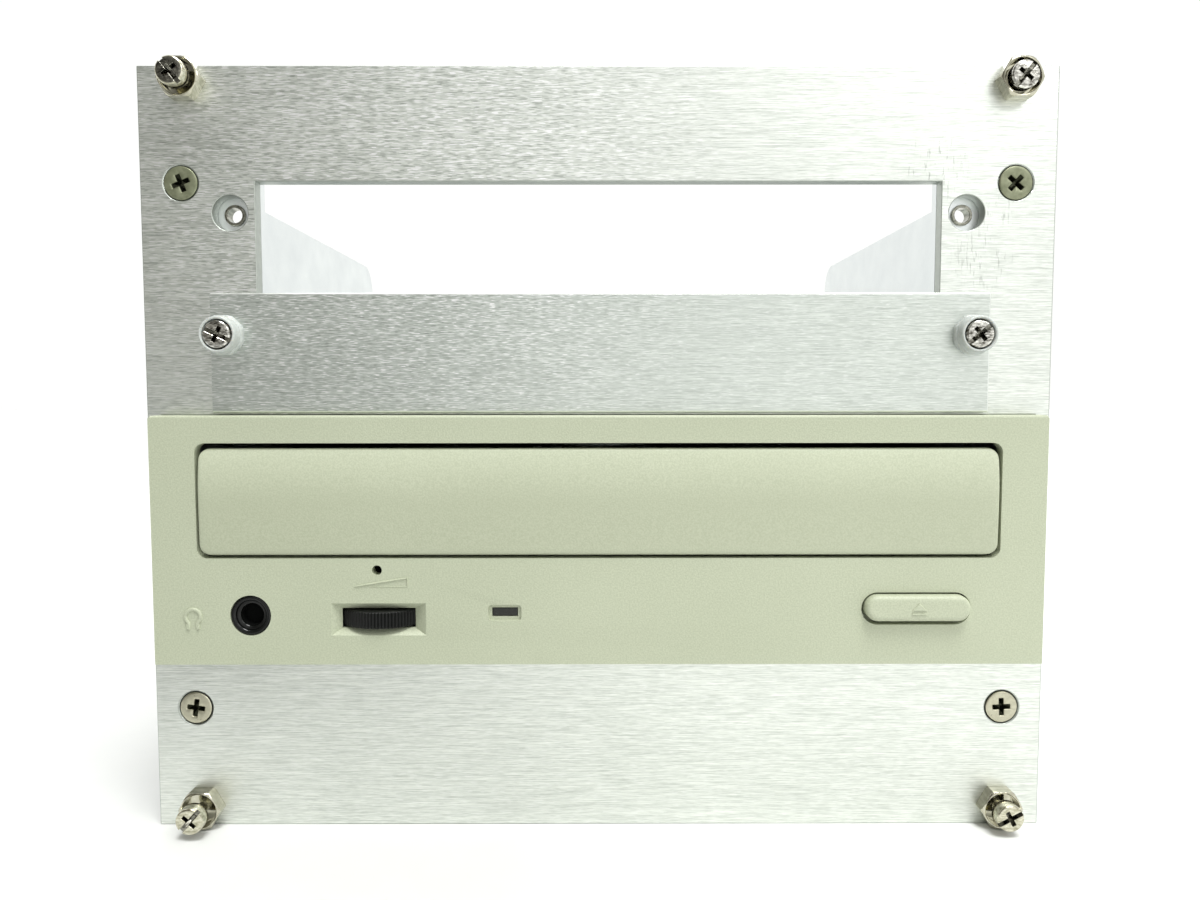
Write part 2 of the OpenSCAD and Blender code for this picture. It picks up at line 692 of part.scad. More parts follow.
module eject_button() {
  color([0.9, 0.9, 0.82]) {
    front_slab(bf - button_proud + 0.5, pf + 0.6) translate([button_x, button_z])
      rounded(button_w, button_h, button_h / 2 - 0.01);
    front_slab(bf - button_proud, bf - button_proud + 0.5) translate([button_x, button_z])
      rounded(button_w - 0.8, button_h - 0.8, button_h / 2 - 0.41);
    // flange behind the bezel wall and the stem that works the switch
    front_slab(bf + wall + gap, bf + wall + gap + 0.8) translate([button_x, button_z])
      square([button_w + 1.6, button_h + 1.4], center = true);
    front_slab(pf, 9) translate([button_x, button_z]) square([5, 2.4], center = true);
    // raised triangle and bar
    front_slab(bf - button_proud - 0.12, bf - button_proud) translate([button_x, button_z]) {
      polygon([[-1.15, -0.35], [1.15, -0.35], [0, 0.95]]);
      translate([-1.15, -0.95]) square([2.3, 0.32]);
    }
  }
}

module volume_wheel() {
  ribs = 44;
  color([0.1, 0.1, 0.11]) level_slab(wheel_z - wheel_t / 2, wheel_z + wheel_t / 2)
    translate([-wheel_x, wheel_y]) difference() {
      polygon([for (i = [0 : 4 * ribs - 1]) let(r = wheel_d / 2 - (i % 4 > 1 ? 0.3 : 0), a = i * 90 / ribs)
        [r * cos(a), r * sin(a)]]);
      circle(d = post_d + 2 * fit);
    }
}

module volume_pot() {
  color("dimgray") {
    block([-wheel_x - 5.5, front_board_y[0], board_z1],
          [-wheel_x + 5.5, wheel_y + 5, wheel_z - wheel_t / 2 - 0.4]);
    level_slab(board_z1, wheel_z + wheel_t / 2 + 0.5) translate([-wheel_x, wheel_y]) circle(d = post_d);
  }
}

module headphone_jack() {
  bore = 3.6;
  color([0.1, 0.1, 0.11]) difference() {
    union() {
      front_slab(bf + 0.1, pf - 1.4) translate([-jack_x, jack_z]) circle(d = jack_d);
      block([-jack_x - 5.5, pf - 1.5, board_z1], [-jack_x + 5.5, pf + 14, jack_z + 4.6]);
    }
    front_slab(bf - 1, pf + 12.5) translate([-jack_x, jack_z]) circle(d = bore);
    turned_back([-jack_x, bf + 0.1, jack_z])
      polygon([[0, -0.1], [bore / 2 + 0.6, -0.1], [0, bore / 2 + 0.5]]);
  }
}

module lamp_lens() {
  color([0.3, 0.33, 0.28]) front_slab(bf + 0.6, pf + 0.8) translate([-lamp_x, lamp_z])
    square([lamp_w - 0.2, lamp_h - 0.2], center = true);
}

module activity_lamp() {
  color("white") {
    block([-lamp_x - 2.5, pf + 1, board_z1], [-lamp_x + 2.5, pf + 6, lamp_z + 1.2]);
  }
}

module eject_switch() {
  color("black") {
    block([button_x - 3, 10.4, board_z1], [button_x + 3, 14, button_z + 3]);
    front_slab(9 + button_travel + 0.2, 10.4) translate([button_x, button_z]) circle(d = 3);
  }
}

module board_outline(x, y, z) block([-x, y[0], z], [x, y[1], z + board_t]);

module front_board() {
  color("darkgreen") difference() {
    board_outline(front_board_x, front_board_y, board_z0);
    level_slab(board_z0 - 1, board_z1 + 1) board_screw_points() circle(d = 3.2);
  }
}

module main_board() {
  color("darkgreen") difference() {
    board_outline(board_x, board_y, board_z0);
    level_slab(board_z0 - 1, board_z1 + 1) board_screw_points() circle(d = 3.2);
  }
}

// Packages on the main board: [x, y, width, depth, height]
chips = [[-30, 52, 20, 20, 1.6], [22, 60, 14, 20, 1.6], [-28, 120, 24, 24, 1.8], [26, 124, 28, 14, 1.8],
         [0, plug_y - 18.75, 18, 10, 1.6], [48, 92, 9, 16, 1.6], [-50, 90, 9, 16, 1.6]];
module board_chips() {
  color([0.12, 0.12, 0.13]) {
    for (c = chips) block([c[0] * spread - c[2] / 2, c[1] - c[3] / 2, board_z1],
                          [c[0] * spread + c[2] / 2, c[1] + c[3] / 2, board_z1 + c[4]]);
    level_slab(board_z1, board_z1 + 6)
      for (x = [-50, -40, 44, 53]) translate([x * spread, plug_y - 13.75]) circle(d = 6);
  }
}

// Plug bodies at the back edge of the main board; each is a box open to the back
module plug_body(x, w, h, hue) color(hue) difference() {
  block([x - w / 2, plug_y, board_z1], [x + w / 2, case_y1, board_z1 + h]);
  block([x - w / 2 + 1, plug_y + 2, board_z1 + 1], [x + w / 2 - 1, case_y1 + 1, board_z1 + h - 1]);
}
module pins(x, n, rows, pitch, d, z)
  color("gold") front_slab(plug_y + 1.5, case_y1 - 1) for (i = [0 : n - 1], j = [0 : rows - 1])
    translate([x + (i - (n - 1) / 2) * pitch, z + (j - (rows - 1) / 2) * pitch]) square(d, center = true);

module data_connector() {
  plug_body(data_x, data_w, 9, "black");
  pins(data_x, 20, 2, 2.54, 0.64, board_z1 + 4.5);
}
module power_connector() {
  plug_body(power_x, power_w, 9.6, "ivory");
  pins(power_x, 4, 1, 5.08, 2, board_z1 + 4.8);
}
module audio_connector() {
  plug_body(audio_x, audio_w, 7, "white");
  pins(audio_x, 4, 1, 2.54, 0.64, board_z1 + 3.5);
}
module jumper_block() {
  plug_body(jumper_x, jumper_w, 7.5, "black");
  pins(jumper_x, 4, 2, 2.54, 0.64, board_z1 + 3.75);
}

// ---- Tray and loader ----

function inv(a) = tan(a) * 180 / PI - a;
addendum = 0.8 * gear_m;
dedendum = 1.15 * gear_m;
pressure = 20;

// Spur gear outline with one tooth centred on the angle turn
module gear_outline(teeth, turn, bore) {
  r = gear_m * teeth / 2;
  base = r * cos(pressure);
  half = 90 / teeth - backlash / 4 / r * 180 / PI + inv(pressure);
  steps = 4;
  low = max(base, r - dedendum);
  flank = [for (i = [0 : steps]) let(q = low + (r + addendum - low) * i / steps)
    [q, half - inv(acos(min(1, base / q)))]];
  profile = concat([[r - dedendum, flank[0][1]]], flank);
  difference() {
    polygon([for (k = [0 : teeth - 1]) let(a = turn + k * 360 / teeth)
      each concat([for (p = profile) [p[0] * cos(a - p[1]), p[0] * sin(a - p[1])]],
                  [for (i = [len(profile) - 1 : -1 : 0]) let(p = profile[i])
                    [p[0] * cos(a + p[1]), p[0] * sin(a + p[1])]])]);
    circle(d = bore);
  }
}

// Rack outline: its pitch line is X = rack_x, and a gap is centred on Y = gear_y
module rack_outline(y0, y1) {
  pitch = PI * gear_m;
  half = pitch / 4 - backlash / 4;
  tip = half - addendum * tan(pressure);
  foot = half + dedendum * tan(pressure);
  n0 = ceil((y0 + foot - gear_y) / pitch - 0.5);
  n1 = floor((y1 - foot - gear_y) / pitch - 0.5);
  translate([rack_x - dedendum - rack_t, y0]) square([rack_t, y1 - y0]);
  for (n = [n0 : n1]) translate([rack_x, gear_y + (n + 0.5) * pitch])
    polygon([[-dedendum - 0.01, -foot], [addendum, -tip], [addendum, tip], [-dedendum - 0.01, foot]]);
}

module disc_tray() {
  color([0.85, 0.85, 0.8]) {
    difference() {
      block([-tray_w / 2, tray_y0, tray_z0], [tray_w / 2, tray_y1, tray_z1]);
      level_slab(well_z, tray_z1 + 1) translate([0, disc_cy]) circle(d = disc_d + 1.5, $fn = 120);
      level_slab(well_z - 1.2, tray_z1) translate([0, disc_cy]) circle(d = 0.68 * disc_d, $fn = 96);
      level_slab(tray_z0 - 1, tray_z1 + 1) {
        translate([0, disc_cy]) circle(d = slot_w);
        translate([-slot_w / 2, disc_cy]) square([slot_w, tray_y1 - disc_cy + 1]);
      }
    }
    // plate behind the door
    block([-door_w / 2 + 5, tray_y0, door_z - door_h / 2 + 2.2],
          [door_w / 2 - 5, tray_y0 + 2, door_z + door_h / 2 - 3]);
    level_slab(tray_z0 - rack_h, tray_z0) rack_outline(tray_y0 + 12, tray_y1 - 2);
  }
}

module frame_side() {
  // tall side wall down to the case's floor
  difference() {
    block([frame_out - 2.4, frame_y0, case_z0 + case_t], [frame_out, frame_y1, bridge_z0]);
    side_slab(frame_out - 3, frame_out + 1) for (y = side_hole_y) translate([y, side_hole_z]) circle(d = 5);
    // room for the lid's side screws and lip
    block([case_in - case_t - 0.4, frame_y0 - 1, case_z1 - 8.3], [frame_out + 1, frame_y1 + 1, case_z1]);
  }
  // ledge under the tray's edge
  block([tray_w / 2 - 3.5, frame_y0, ledge_z1 - 2], [frame_out, frame_y1, ledge_z1]);
  // guides beside and above the tray's edge
  for (y = [frame_y0 + 3, disc_cy - 6, disc_cy + 45]) {
    block([tray_w / 2 + gap, y, ledge_z1], [frame_out, y + 12, tray_z1 + gap + 1.4]);
    block([tray_w / 2 - 1.6, y, tray_z1 + gap], [frame_out, y + 12, tray_z1 + gap + 1.4]);
  }
}

module gear_post(x, z1) level_slab(deck_z1, z1) translate([x, gear_y]) circle(d = post_d);

module loader_frame() {
  color([0.2, 0.2, 0.21]) {
    both_sides() frame_side();
    difference() {
      block([-frame_out, frame_y0, deck_z1 - deck_t], [frame_out, frame_y1, deck_z1]);
      block([-lift_x - 0.6, lift_y0 - 0.8, deck_z1 - 3], [lift_x + 0.6, lift_y + 5, deck_z1 + 1]);
      level_slab(deck_z1 - 3, deck_z1 + 1) translate([motor_x, gear_y]) circle(r = 3.2);
    }
    // posts that the gears turn on
    gear_post(drive_gx, gear_z0 + gear_t + 0.6);
    gear_post(pulley_x, gear_z0 + gear_t + 0.6);
    level_slab(deck_z1, gear_z0 - 0.2) translate([drive_gx, gear_y]) circle(d = post_d + 2.4);
    // lugs for the hinge pins
    both_sides() difference() {
      block([lift_x + 0.6, lift_y - 3.5, deck_z1 - deck_t],
            [lift_x + 0.6 + lug_w, lift_y + 3.5, lift_z + 3]);
      side_slab(lift_x - 1, lift_x + 8) translate([lift_y, lift_z]) circle(d = rod_d + 2 * fit);
    }
  }
}

// Caps that keep the gears on their posts
module gear_clips() {
  color("white") level_slab(gear_z0 + gear_t + 0.3, gear_z0 + gear_t + 0.9)
    for (x = [drive_gx, pulley_x]) translate([x, gear_y]) difference() {
      circle(d = post_d + 2);
      circle(d = post_d);
    }
}

module loading_motor() {
  color("silver") {
    level_slab(board_z1 + 0.8, deck_z1 - deck_t) translate([motor_x, gear_y]) circle(r = motor_r);
    level_slab(deck_z1 - deck_t, deck_z1 - 0.2) translate([motor_x, gear_y]) circle(r = 3);
    level_slab(deck_z1 - 0.2, belt_z0 + belt_h + 0.4) translate([motor_x, gear_y]) circle(r = 1);
  }
}

module motor_pulley() {
  color("white") level_slab(belt_z0 - 0.3, belt_z0 + belt_h + 0.3)
    translate([motor_x, gear_y]) difference() {
      circle(r = motor_pulley_r);
      circle(r = 1 + fit);
    }
}

module loading_belt() {
  color([0.1, 0.1, 0.1]) level_slab(belt_z0, belt_z0 + belt_h) difference() {
    belt_loop(belt_t + gap / 3);
    belt_loop(gap / 3);
  }
}
module belt_loop(over) hull() {
  translate([pulley_x, gear_y]) circle(r = pulley_r + over);
  translate([motor_x, gear_y]) circle(r = motor_pulley_r + over);
}

module belt_pulley() {
  delta = 180 % (360 / drive_teeth);
  color("ivory") {
    level_slab(belt_z0, belt_z0 + belt_h) translate([pulley_x, gear_y]) difference() {
      circle(r = pulley_r);
      circle(d = post_d + 2 * fit);
    }
    level_slab(belt_z0 + belt_h, gear_z0 + gear_t) translate([pulley_x, gear_y])
      gear_outline(pinion_teeth, 180 - delta * drive_teeth / pinion_teeth + 180 / pinion_teeth,
                   post_d + 2 * fit);
  }
}

module drive_gear() {
  color("ivory") level_slab(gear_z0, gear_z0 + gear_t) translate([drive_gx, gear_y])
    gear_outline(drive_teeth, 180, post_d + 2 * fit);
}

// ---- Pickup mechanism ----

module lift_frame() {
  color([0.2, 0.2, 0.21]) {
    difference() {
      block([-lift_x, lift_y0, lift_z0], [lift_x, lift_y + 3, lift_z1]);
      block([-lift_x + 3.2, window_y0, lift_z0 - 1], [lift_x - 3.2, window_y1, lift_z1 + 1]);
    }
    level_slab(lift_z1, plate_z0) for (m = mount_xy) translate(m) circle(d = mount_d - 3);
    // hinge pins
    both_sides() {
      block([lift_x - 3, lift_y - 2.2, lift_z0], [lift_x, lift_y + 3, lift_z + 2]);
      side_slab(lift_x - 1, lift_x + 0.4 + lug_w) translate([lift_y, lift_z]) circle(d = rod_d);
    }
  }
}

module rubber_mounts() {
  color([0.15, 0.15, 0.15]) for (m = mount_xy) difference() {
    union() {
      level_slab(lift_z1, plate_z0) translate(m) circle(d = mount_d);
      level_slab(plate_z0, plate_z1) translate(m) circle(d = mount_d - 2);
      level_slab(plate_z1, plate_z1 + 0.8) translate(m) circle(d = mount_d);
    }
    level_slab(lift_z1 - 1, plate_z1 + 2) translate(m) circle(d = mount_d - 3);
  }
}

module pickup_plate() {
  color("silver") {
    difference() {
      block([-lift_x + 2, lift_y0, plate_z0], [lift_x - 2, lift_y - 2.5, plate_z1]);
      level_slab(plate_z0 - 1, plate_z1 + 1) {
        for (m = mount_xy) translate(m) circle(d = mount_d - 2);
        translate([0, disc_cy]) circle(d = 5);
      }
      block([-sled_w - 1, rod_y[0] - 1, plate_z0 - 1], [sled_w + 1, rod_y[1] + 1, plate_z1 + 1]);
      block([sled_w, rod_y[0] - 1, plate_z0 - 1],
            [screw_x + drive_motor_r + 0.4, drive_y[1] + 0.4, plate_z1 + 1]);
    }
    // holders at the ends of the guide rods
    for (x = [-rod_x, rod_x], y = [rod_y[0] - 2.2, rod_y[1] + 0.2])
      block([x - 3, y, rod_z - rod_d / 2 - 0.4], [x + 3, y + 2, rod_z + rod_d / 2 + 0.8]);
  }
}

module mount_screws() {
  color("silver") for (m = mount_xy) translate([m[0], m[1], plate_z1 + 0.8])
    pan_screw(mount_d - 3.4, 0.7, mount_d - 1, 0.7);
}

module spindle_motor() {
  color("silver") translate([0, disc_cy, 0]) {
    level_slab(spindle_z0, plate_z0) circle(r = spindle_r);
    level_slab(plate_z0, plate_z1 + 0.6) circle(d = 4.8);
    level_slab(plate_z1, table_z1 + 1) circle(d = spindle_d);
  }
}

module turntable() {
  color([0.15, 0.15, 0.16]) translate([0, disc_cy, 0]) difference() {
    rotate_extrude() polygon([[0, plate_z1 + 1.6], [5, plate_z1 + 1.6], [5, table_z1 - table_t],
      [turntable_d / 2, table_z1 - table_t], [turntable_d / 2, table_z1], [7.4, table_z1],
      [7.4, table_z1 + 0.8], [5.4, table_z1 + 1.8], [0, table_z1 + 1.8]]);
    level_slab(plate_z1, table_z1 + 1.2) circle(d = spindle_d + 2 * fit);
  }
}

module guide_rods() {
  color("silver") front_slab(rod_y[0] - 0.2, rod_y[1] + 0.2) for (x = [-rod_x, rod_x])
    translate([x, rod_z]) circle(d = rod_d);
}

module pickup_sled() {
  color([0.25, 0.25, 0.27]) difference() {
    union() {
      block([-sled_w, sled_y0, sled_z0], [sled_w, sled_y0 + sled_len, sled_z1]);
      // arm with the nut
      block([sled_w, sled_y0, screw_z - 1.5],
            [screw_x + screw_r + 1.6, sled_y0 + nut_len, screw_z + screw_r + 1.5]);
    }
    front_slab(sled_y0 - 1, sled_y0 + sled_len + 1) {
      for (x = [-rod_x, rod_x]) translate([x, rod_z]) circle(d = rod_d + 2 * fit);
      translate([screw_x, screw_z]) circle(r = screw_r + 0.1);
    }
    level_slab(sled_z1 - 1.5, sled_z1 + 1) translate([0, lens_y]) circle(d = 13);
  }
}

module objective_lens() {
  color([0.1, 0.1, 0.1]) {
    level_slab(sled_z1 - 1.5, sled_z1 + 1.6) translate([0, lens_y]) circle(d = 9);
  }
  color("lightblue") translate([0, lens_y, sled_z1 + 1.6]) intersection() {
    sphere(d = 6);
    cylinder(d = 6, h = 1);
  }
}

module sled_motor() {
  color("silver") {
    front_slab(drive_y[0], drive_y[1]) translate([screw_x, screw_z]) circle(r = drive_motor_r);
    front_slab(drive_y[0] - 1, drive_y[0]) translate([screw_x, screw_z]) circle(r = 2.4);
    front_slab(drive_y[0] - 2.6, drive_y[0] - 1) translate([screw_x, screw_z]) circle(r = 0.8);
  }
}

module lead_screw() {
  pitch = 3;
  y0 = sled_y0 - 1;
  y1 = drive_y[0] - 1.2;
  color("white") difference() {
    front_slab(y0, y1) translate([screw_x, screw_z]) circle(r = screw_r);
    for (y = [y0 + 2 : pitch : y1 - 3]) turned_back([screw_x, y, screw_z])
      polygon([[screw_r - 0.5, 0.5], [screw_r + 1, -0.5], [screw_r + 1, 2], [screw_r - 0.5, 1]]);
    front_slab(y1 - 2, y1 + 1) translate([screw_x, screw_z]) circle(r = 0.8 + fit);
  }
}

module clamp_bridge() {
  color("silver") difference() {
    union() {
      block([-frame_out, disc_cy - 10, bridge_z0], [frame_out, disc_cy + 10, bridge_z0 + bridge_t]);
      level_slab(bridge_z0, bridge_z0 + bridge_t) translate([0, disc_cy]) circle(d = puck_d + 12);
    }
    level_slab(bridge_z0 - 1, bridge_z0 + bridge_t + 1) translate([0, disc_cy]) circle(d = puck_d - 7.4);
    block([case_in - case_t - 0.4, disc_cy - 20, case_z1 - 8.3], [case_in + 2, disc_cy + 20, case_z1]);
    block([-case_in - 2, disc_cy - 20, case_z1 - 8.3], [-case_in + case_t + 0.4, disc_cy + 20, case_z1]);
  }
}

module clamp_puck() {
  low = tray_z1 + 0.4;
  color("ivory") translate([0, disc_cy, 0]) rotate_extrude() polygon([
    [0, low + 0.4], [7, low + 0.4], [7, low], [puck_d / 2, low],
    [puck_d / 2, low + 2.2], [puck_d / 2 - 4.5, low + 2.2],
    [puck_d / 2 - 4.5, bridge_z0 + bridge_t + fit], [puck_d / 2 - 1.5, bridge_z0 + bridge_t + fit],
    [puck_d / 2 - 1.5, bridge_z0 + bridge_t + 1.4], [0, bridge_z0 + bridge_t + 1.4]]);
}

front_panel();
panel_collars();
countersunk_screws();
cover_plate();
cover_sleeves();
press_nuts();
bay_bracket_left();
bay_bracket_right();
drive_rail_left();
drive_rail_right();
bracket_screws();
drive_side_screws();
panel_screw_top_left();
panel_screw_top_right();
panel_screw_bottom_left();
panel_screw_bottom_right();
cover_screw_left();
cover_screw_right();
bezel();
tray_door();
disc_tray();
eject_button();
eject_switch();
volume_wheel();
volume_pot();
headphone_jack();
lamp_lens();
activity_lamp();
front_board();
case_tray();
case_cover();
case_screws();
board_screws();
loader_frame();
loading_motor();
motor_pulley();
loading_belt();
belt_pulley();
drive_gear();
gear_clips();
lift_frame();
rubber_mounts();
pickup_plate();
mount_screws();
spindle_motor();
turntable();
guide_rods();
pickup_sled();
objective_lens();
sled_motor();
lead_screw();
clamp_bridge();
clamp_puck();
main_board();
board_chips();
data_connector();
power_connector();
audio_connector();
jumper_block();
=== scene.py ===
# %% [markdown]
# # A rack module with a disc drive
#
# The object is a front panel of brushed aluminium for a sub-rack. It carries a half-height disc
# drive with a putty-coloured bezel, and above it an empty drive bay whose lower part is closed
# by a cover plate. The CAD model gives every part its size and its place. This file gives each
# part the edges, the small details and the finishes that the real one has.
#
# The first cell loads the CAD model. All lengths are in metres, so the value MM turns the
# millimetres of the workshop into the units of the scene.

# %% Load the CAD model
import json
import math
import random

import bmesh
import bpy
from mathutils import Matrix, Vector

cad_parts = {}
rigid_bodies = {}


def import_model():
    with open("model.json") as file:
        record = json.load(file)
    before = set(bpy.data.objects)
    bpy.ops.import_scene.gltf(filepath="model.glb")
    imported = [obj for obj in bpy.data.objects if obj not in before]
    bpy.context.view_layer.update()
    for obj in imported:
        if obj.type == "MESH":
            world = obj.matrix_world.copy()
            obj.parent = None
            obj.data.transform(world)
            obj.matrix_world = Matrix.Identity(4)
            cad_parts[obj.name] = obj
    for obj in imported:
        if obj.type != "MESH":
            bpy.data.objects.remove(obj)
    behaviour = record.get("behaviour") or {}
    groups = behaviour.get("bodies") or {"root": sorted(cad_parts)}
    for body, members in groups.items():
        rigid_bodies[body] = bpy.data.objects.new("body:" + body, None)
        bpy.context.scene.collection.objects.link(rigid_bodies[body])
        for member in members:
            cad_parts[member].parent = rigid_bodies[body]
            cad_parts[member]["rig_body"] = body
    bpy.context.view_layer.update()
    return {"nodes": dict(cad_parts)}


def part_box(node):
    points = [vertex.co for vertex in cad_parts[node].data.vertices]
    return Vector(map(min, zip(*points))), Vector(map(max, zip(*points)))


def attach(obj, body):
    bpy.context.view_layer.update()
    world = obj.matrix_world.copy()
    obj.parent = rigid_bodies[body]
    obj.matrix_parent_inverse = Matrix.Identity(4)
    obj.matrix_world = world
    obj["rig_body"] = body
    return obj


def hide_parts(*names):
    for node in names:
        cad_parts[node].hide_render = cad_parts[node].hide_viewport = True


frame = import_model()
MM = 0.001
nodes = frame["nodes"]

# %% [markdown]
# ## Places taken from the CAD
#
# The real panel is one flat sheet, and everything on the front is set out from its face. The
# places could be typed in again, but then they would drift from the CAD when a size changes. So
# the box of a CAD node gives its lowest and highest corner, in millimetres, and the fronts of the
# panel and of the bezel are read from such boxes.

# %% Fronts and centres of the main parts


def low(node):
    """Lowest corner of a node, in millimetres."""
    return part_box(node)[0] / MM


def high(node):
    """Highest corner of a node, in millimetres."""
    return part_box(node)[1] / MM


def middle(node):
    """Middle of a node's box, in millimetres."""
    return (low(node) + high(node)) / 2


PANEL_FRONT = low("front_panel").y
PANEL_BACK = high("front_panel").y
BEZEL_FRONT = low("bezel").y
print("panel front", round(PANEL_FRONT, 2), "bezel front", round(BEZEL_FRONT, 2))

# %% [markdown]
# ## The camera
#
# The camera stands close, a little above the middle of the panel, and looks slightly down. That
# is why the panel's sides draw together towards the bottom. The lens is wide, 27 mm on a 36 mm
# film, and nothing is shifted. The two smallest turns are the little by which a hand-held camera
# is out of level.

# %% Camera
CAMERA_PLACE = (-0.03, -154.74, 74.83)
CAMERA_TURN = (86.33, 0.04, -0.09)
camera_data = bpy.data.cameras.new("camera")
camera_data.sensor_width = 36.0
camera_data.lens = 27.306
camera_data.clip_start = 5 * MM
camera = bpy.data.objects.new("camera", camera_data)
bpy.context.scene.collection.objects.link(camera)
camera.location = Vector(CAMERA_PLACE) * MM
camera.rotation_euler = [math.radians(degrees) for degrees in CAMERA_TURN]
bpy.context.scene.camera = camera
print("camera at", [round(v / MM, 1) for v in camera.location])

# %% [markdown]
# ## Colours and nodes
#
# Paint charts and screens give colours as sRGB hex values, while the renderer works with linear
# light. One function turns the first into the second. A second function adds a node to a
# material, sets its options and fills its inputs, each with a colour, a value or a link, and
# gives back the output that the next node needs. Inputs stand in the order of the node's sockets,
# or have a name or a number where only some are filled.

# %% Colour and node helpers


def linear(hex_colour):
    """An sRGB hex colour as linear light, with full alpha."""
    parts = [int(hex_colour[i:i + 2], 16) / 255 for i in (1, 3, 5)]
    return (*(c / 12.92 if c <= 0.04045 else ((c + 0.055) / 1.055) ** 2.4 for c in parts), 1.0)


def add(tree, kind, inputs=(), output=0, stops=(), **settings):
    """Adds a node and gives one of its outputs; stops are a grey ramp's two places and levels."""
    node = tree.nodes.new("ShaderNode" + kind)
    for name, value in settings.items():
        setattr(node, name, value)
    for key, value in inputs.items() if isinstance(inputs, dict) else enumerate(inputs):
        if isinstance(value, bpy.types.NodeSocket):
            tree.links.new(value, node.inputs[key])
        else:
            node.inputs[key].default_value = linear(value) if isinstance(value, str) else value
    for number, (position, level) in enumerate(stops):
        stop = node.color_ramp.elements[number]
        stop.position, stop.color = position, (level, level, level, 1)
    return node.outputs[output]


print("putty in linear light:", [round(v, 3) for v in linear("#ABB199")])

# %% [markdown]
# ## Starting and closing a material
#
# Every material here is made of the same three things: a colour, a gloss and fine bumps, each with
# a pattern of its own. The patterns sit on the object's own coordinates, which are metres, so a
# grain can be given its real size in millimetres. `noise_at` does that, one size for all ways or
# one for each. `feed` links what comes out to the shader.

# %% Material helpers


def start_material(name, **shader_values):
    """A new material with its tree, its shader and the object's own coordinates."""
    material = bpy.data.materials.new(name)
    material.use_nodes = True
    tree = material.node_tree
    shader = tree.nodes["Principled BSDF"]
    for key, value in shader_values.items():
        shader.inputs[key.replace("_", " ")].default_value = value
    return material, tree, shader, add(tree, "TexCoord", output="Object")


def noise_at(tree, place, size_mm, detail=2.0, roughness=0.5):
    """Noise whose grains measure size_mm, one value or one for each axis."""
    sizes = size_mm if isinstance(size_mm, tuple) else (size_mm,) * 3
    spread = add(tree, "Mapping", {"Vector": place, "Scale": [1 / (s * MM) for s in sizes]})
    return add(tree, "TexNoise", {"Vector": spread, "Scale": 1.0, "Detail": detail,
                                  "Roughness": roughness}, "Fac")


def feed(shader, **sockets):
    """Links colour, gloss and bumps to the shader of a material."""
    for key, socket in sockets.items():
        shader.id_data.links.new(socket, shader.inputs[key.replace("_", " ")])


print("material helpers ready")

# %% [markdown]
# ## Brushed aluminium
#
# The panel and the plate are rolled aluminium sheet that was drawn under an abrasive belt, so the
# grain runs one way only: fine scratches of some millimetres, left to right, with a few deeper
# nicks that sparkle. The sheet has also been handled. Nicks are thickest at the upper left, and a
# bruise is a patch of short dark rubs where something hard slid over it. The first cell lays such
# marks over a colour, thick near a spot and thinner away from it.

# %% Nicks and bruises
MOST_NICKS = (-38.0, 112.0, 62.0)    # x, z and reach of the place with the most nicks


def near_spot(tree, place, x, z, reach):
    """One at a place on the panel's front; it falls to nothing from 0.3 of its reach on."""
    away = add(tree, "VectorMath", [place, (x * MM, 0, z * MM)], "Value", operation="DISTANCE")
    return add(tree, "MapRange", [away, 0.3 * reach * MM, reach * MM, 1.0, 0.0])


def marked(tree, colour, marks, share, most, mark):
    """Lays marks over a colour where the share is high, at most so strong."""
    marks = add(tree, "Math", [marks, share], operation="MULTIPLY")
    marks = add(tree, "MapRange", [marks, 0.0, 1.0, 0.0, most])
    return add(tree, "Mix", {0: marks, 6: colour, 7: mark}, 2, data_type="RGBA")


def nicked(tree, place, dashes, colour):
    """Bright nicks and dark scratches, from the highest and the lowest of the dashes."""
    share = add(tree, "Math", [near_spot(tree, place, *MOST_NICKS), 0.25], operation="ADD")
    nicks = add(tree, "ValToRGB", [dashes], stops=((0.60, 0.0), (0.70, 1.0)))
    colour = marked(tree, colour, nicks, share, 1.0, "#FFFFFF")
    scratches = add(tree, "ValToRGB", [dashes], stops=((0.28, 1.0), (0.38, 0.0)))
    return marked(tree, colour, scratches, share, 0.5, "#848A83")


def bruised(tree, place, moved, colour, bruises):
    """Short dark rubs at each bruise, which is given by x, z and reach."""
    rubs = noise_at(tree, moved, (0.35, 3.0, 1.9))
    rubs = add(tree, "ValToRGB", [rubs], stops=((0.58, 0.0), (0.70, 1.0)))
    for bruise in bruises:
        colour = marked(tree, colour, rubs, near_spot(tree, place, *bruise), 0.5, "#5E625B")
    return colour


print("most nicks lie around x", MOST_NICKS[0], "z", MOST_NICKS[1])

# %% [markdown]
# The scratches catch light above and below each highlight and smear it up and down. An
# anisotropic shader would smear it too, but it shows no single scratch, so stretched noise is used
# for colour, gloss and bumps together. Real scratches are a few hundredths of a millimetre wide;
# they are drawn a tenth of a millimetre wide here, so that they show.

# %% Brushed aluminium
BELT_DEPTH = 0.02 * MM    # how deep the belt's scratches are


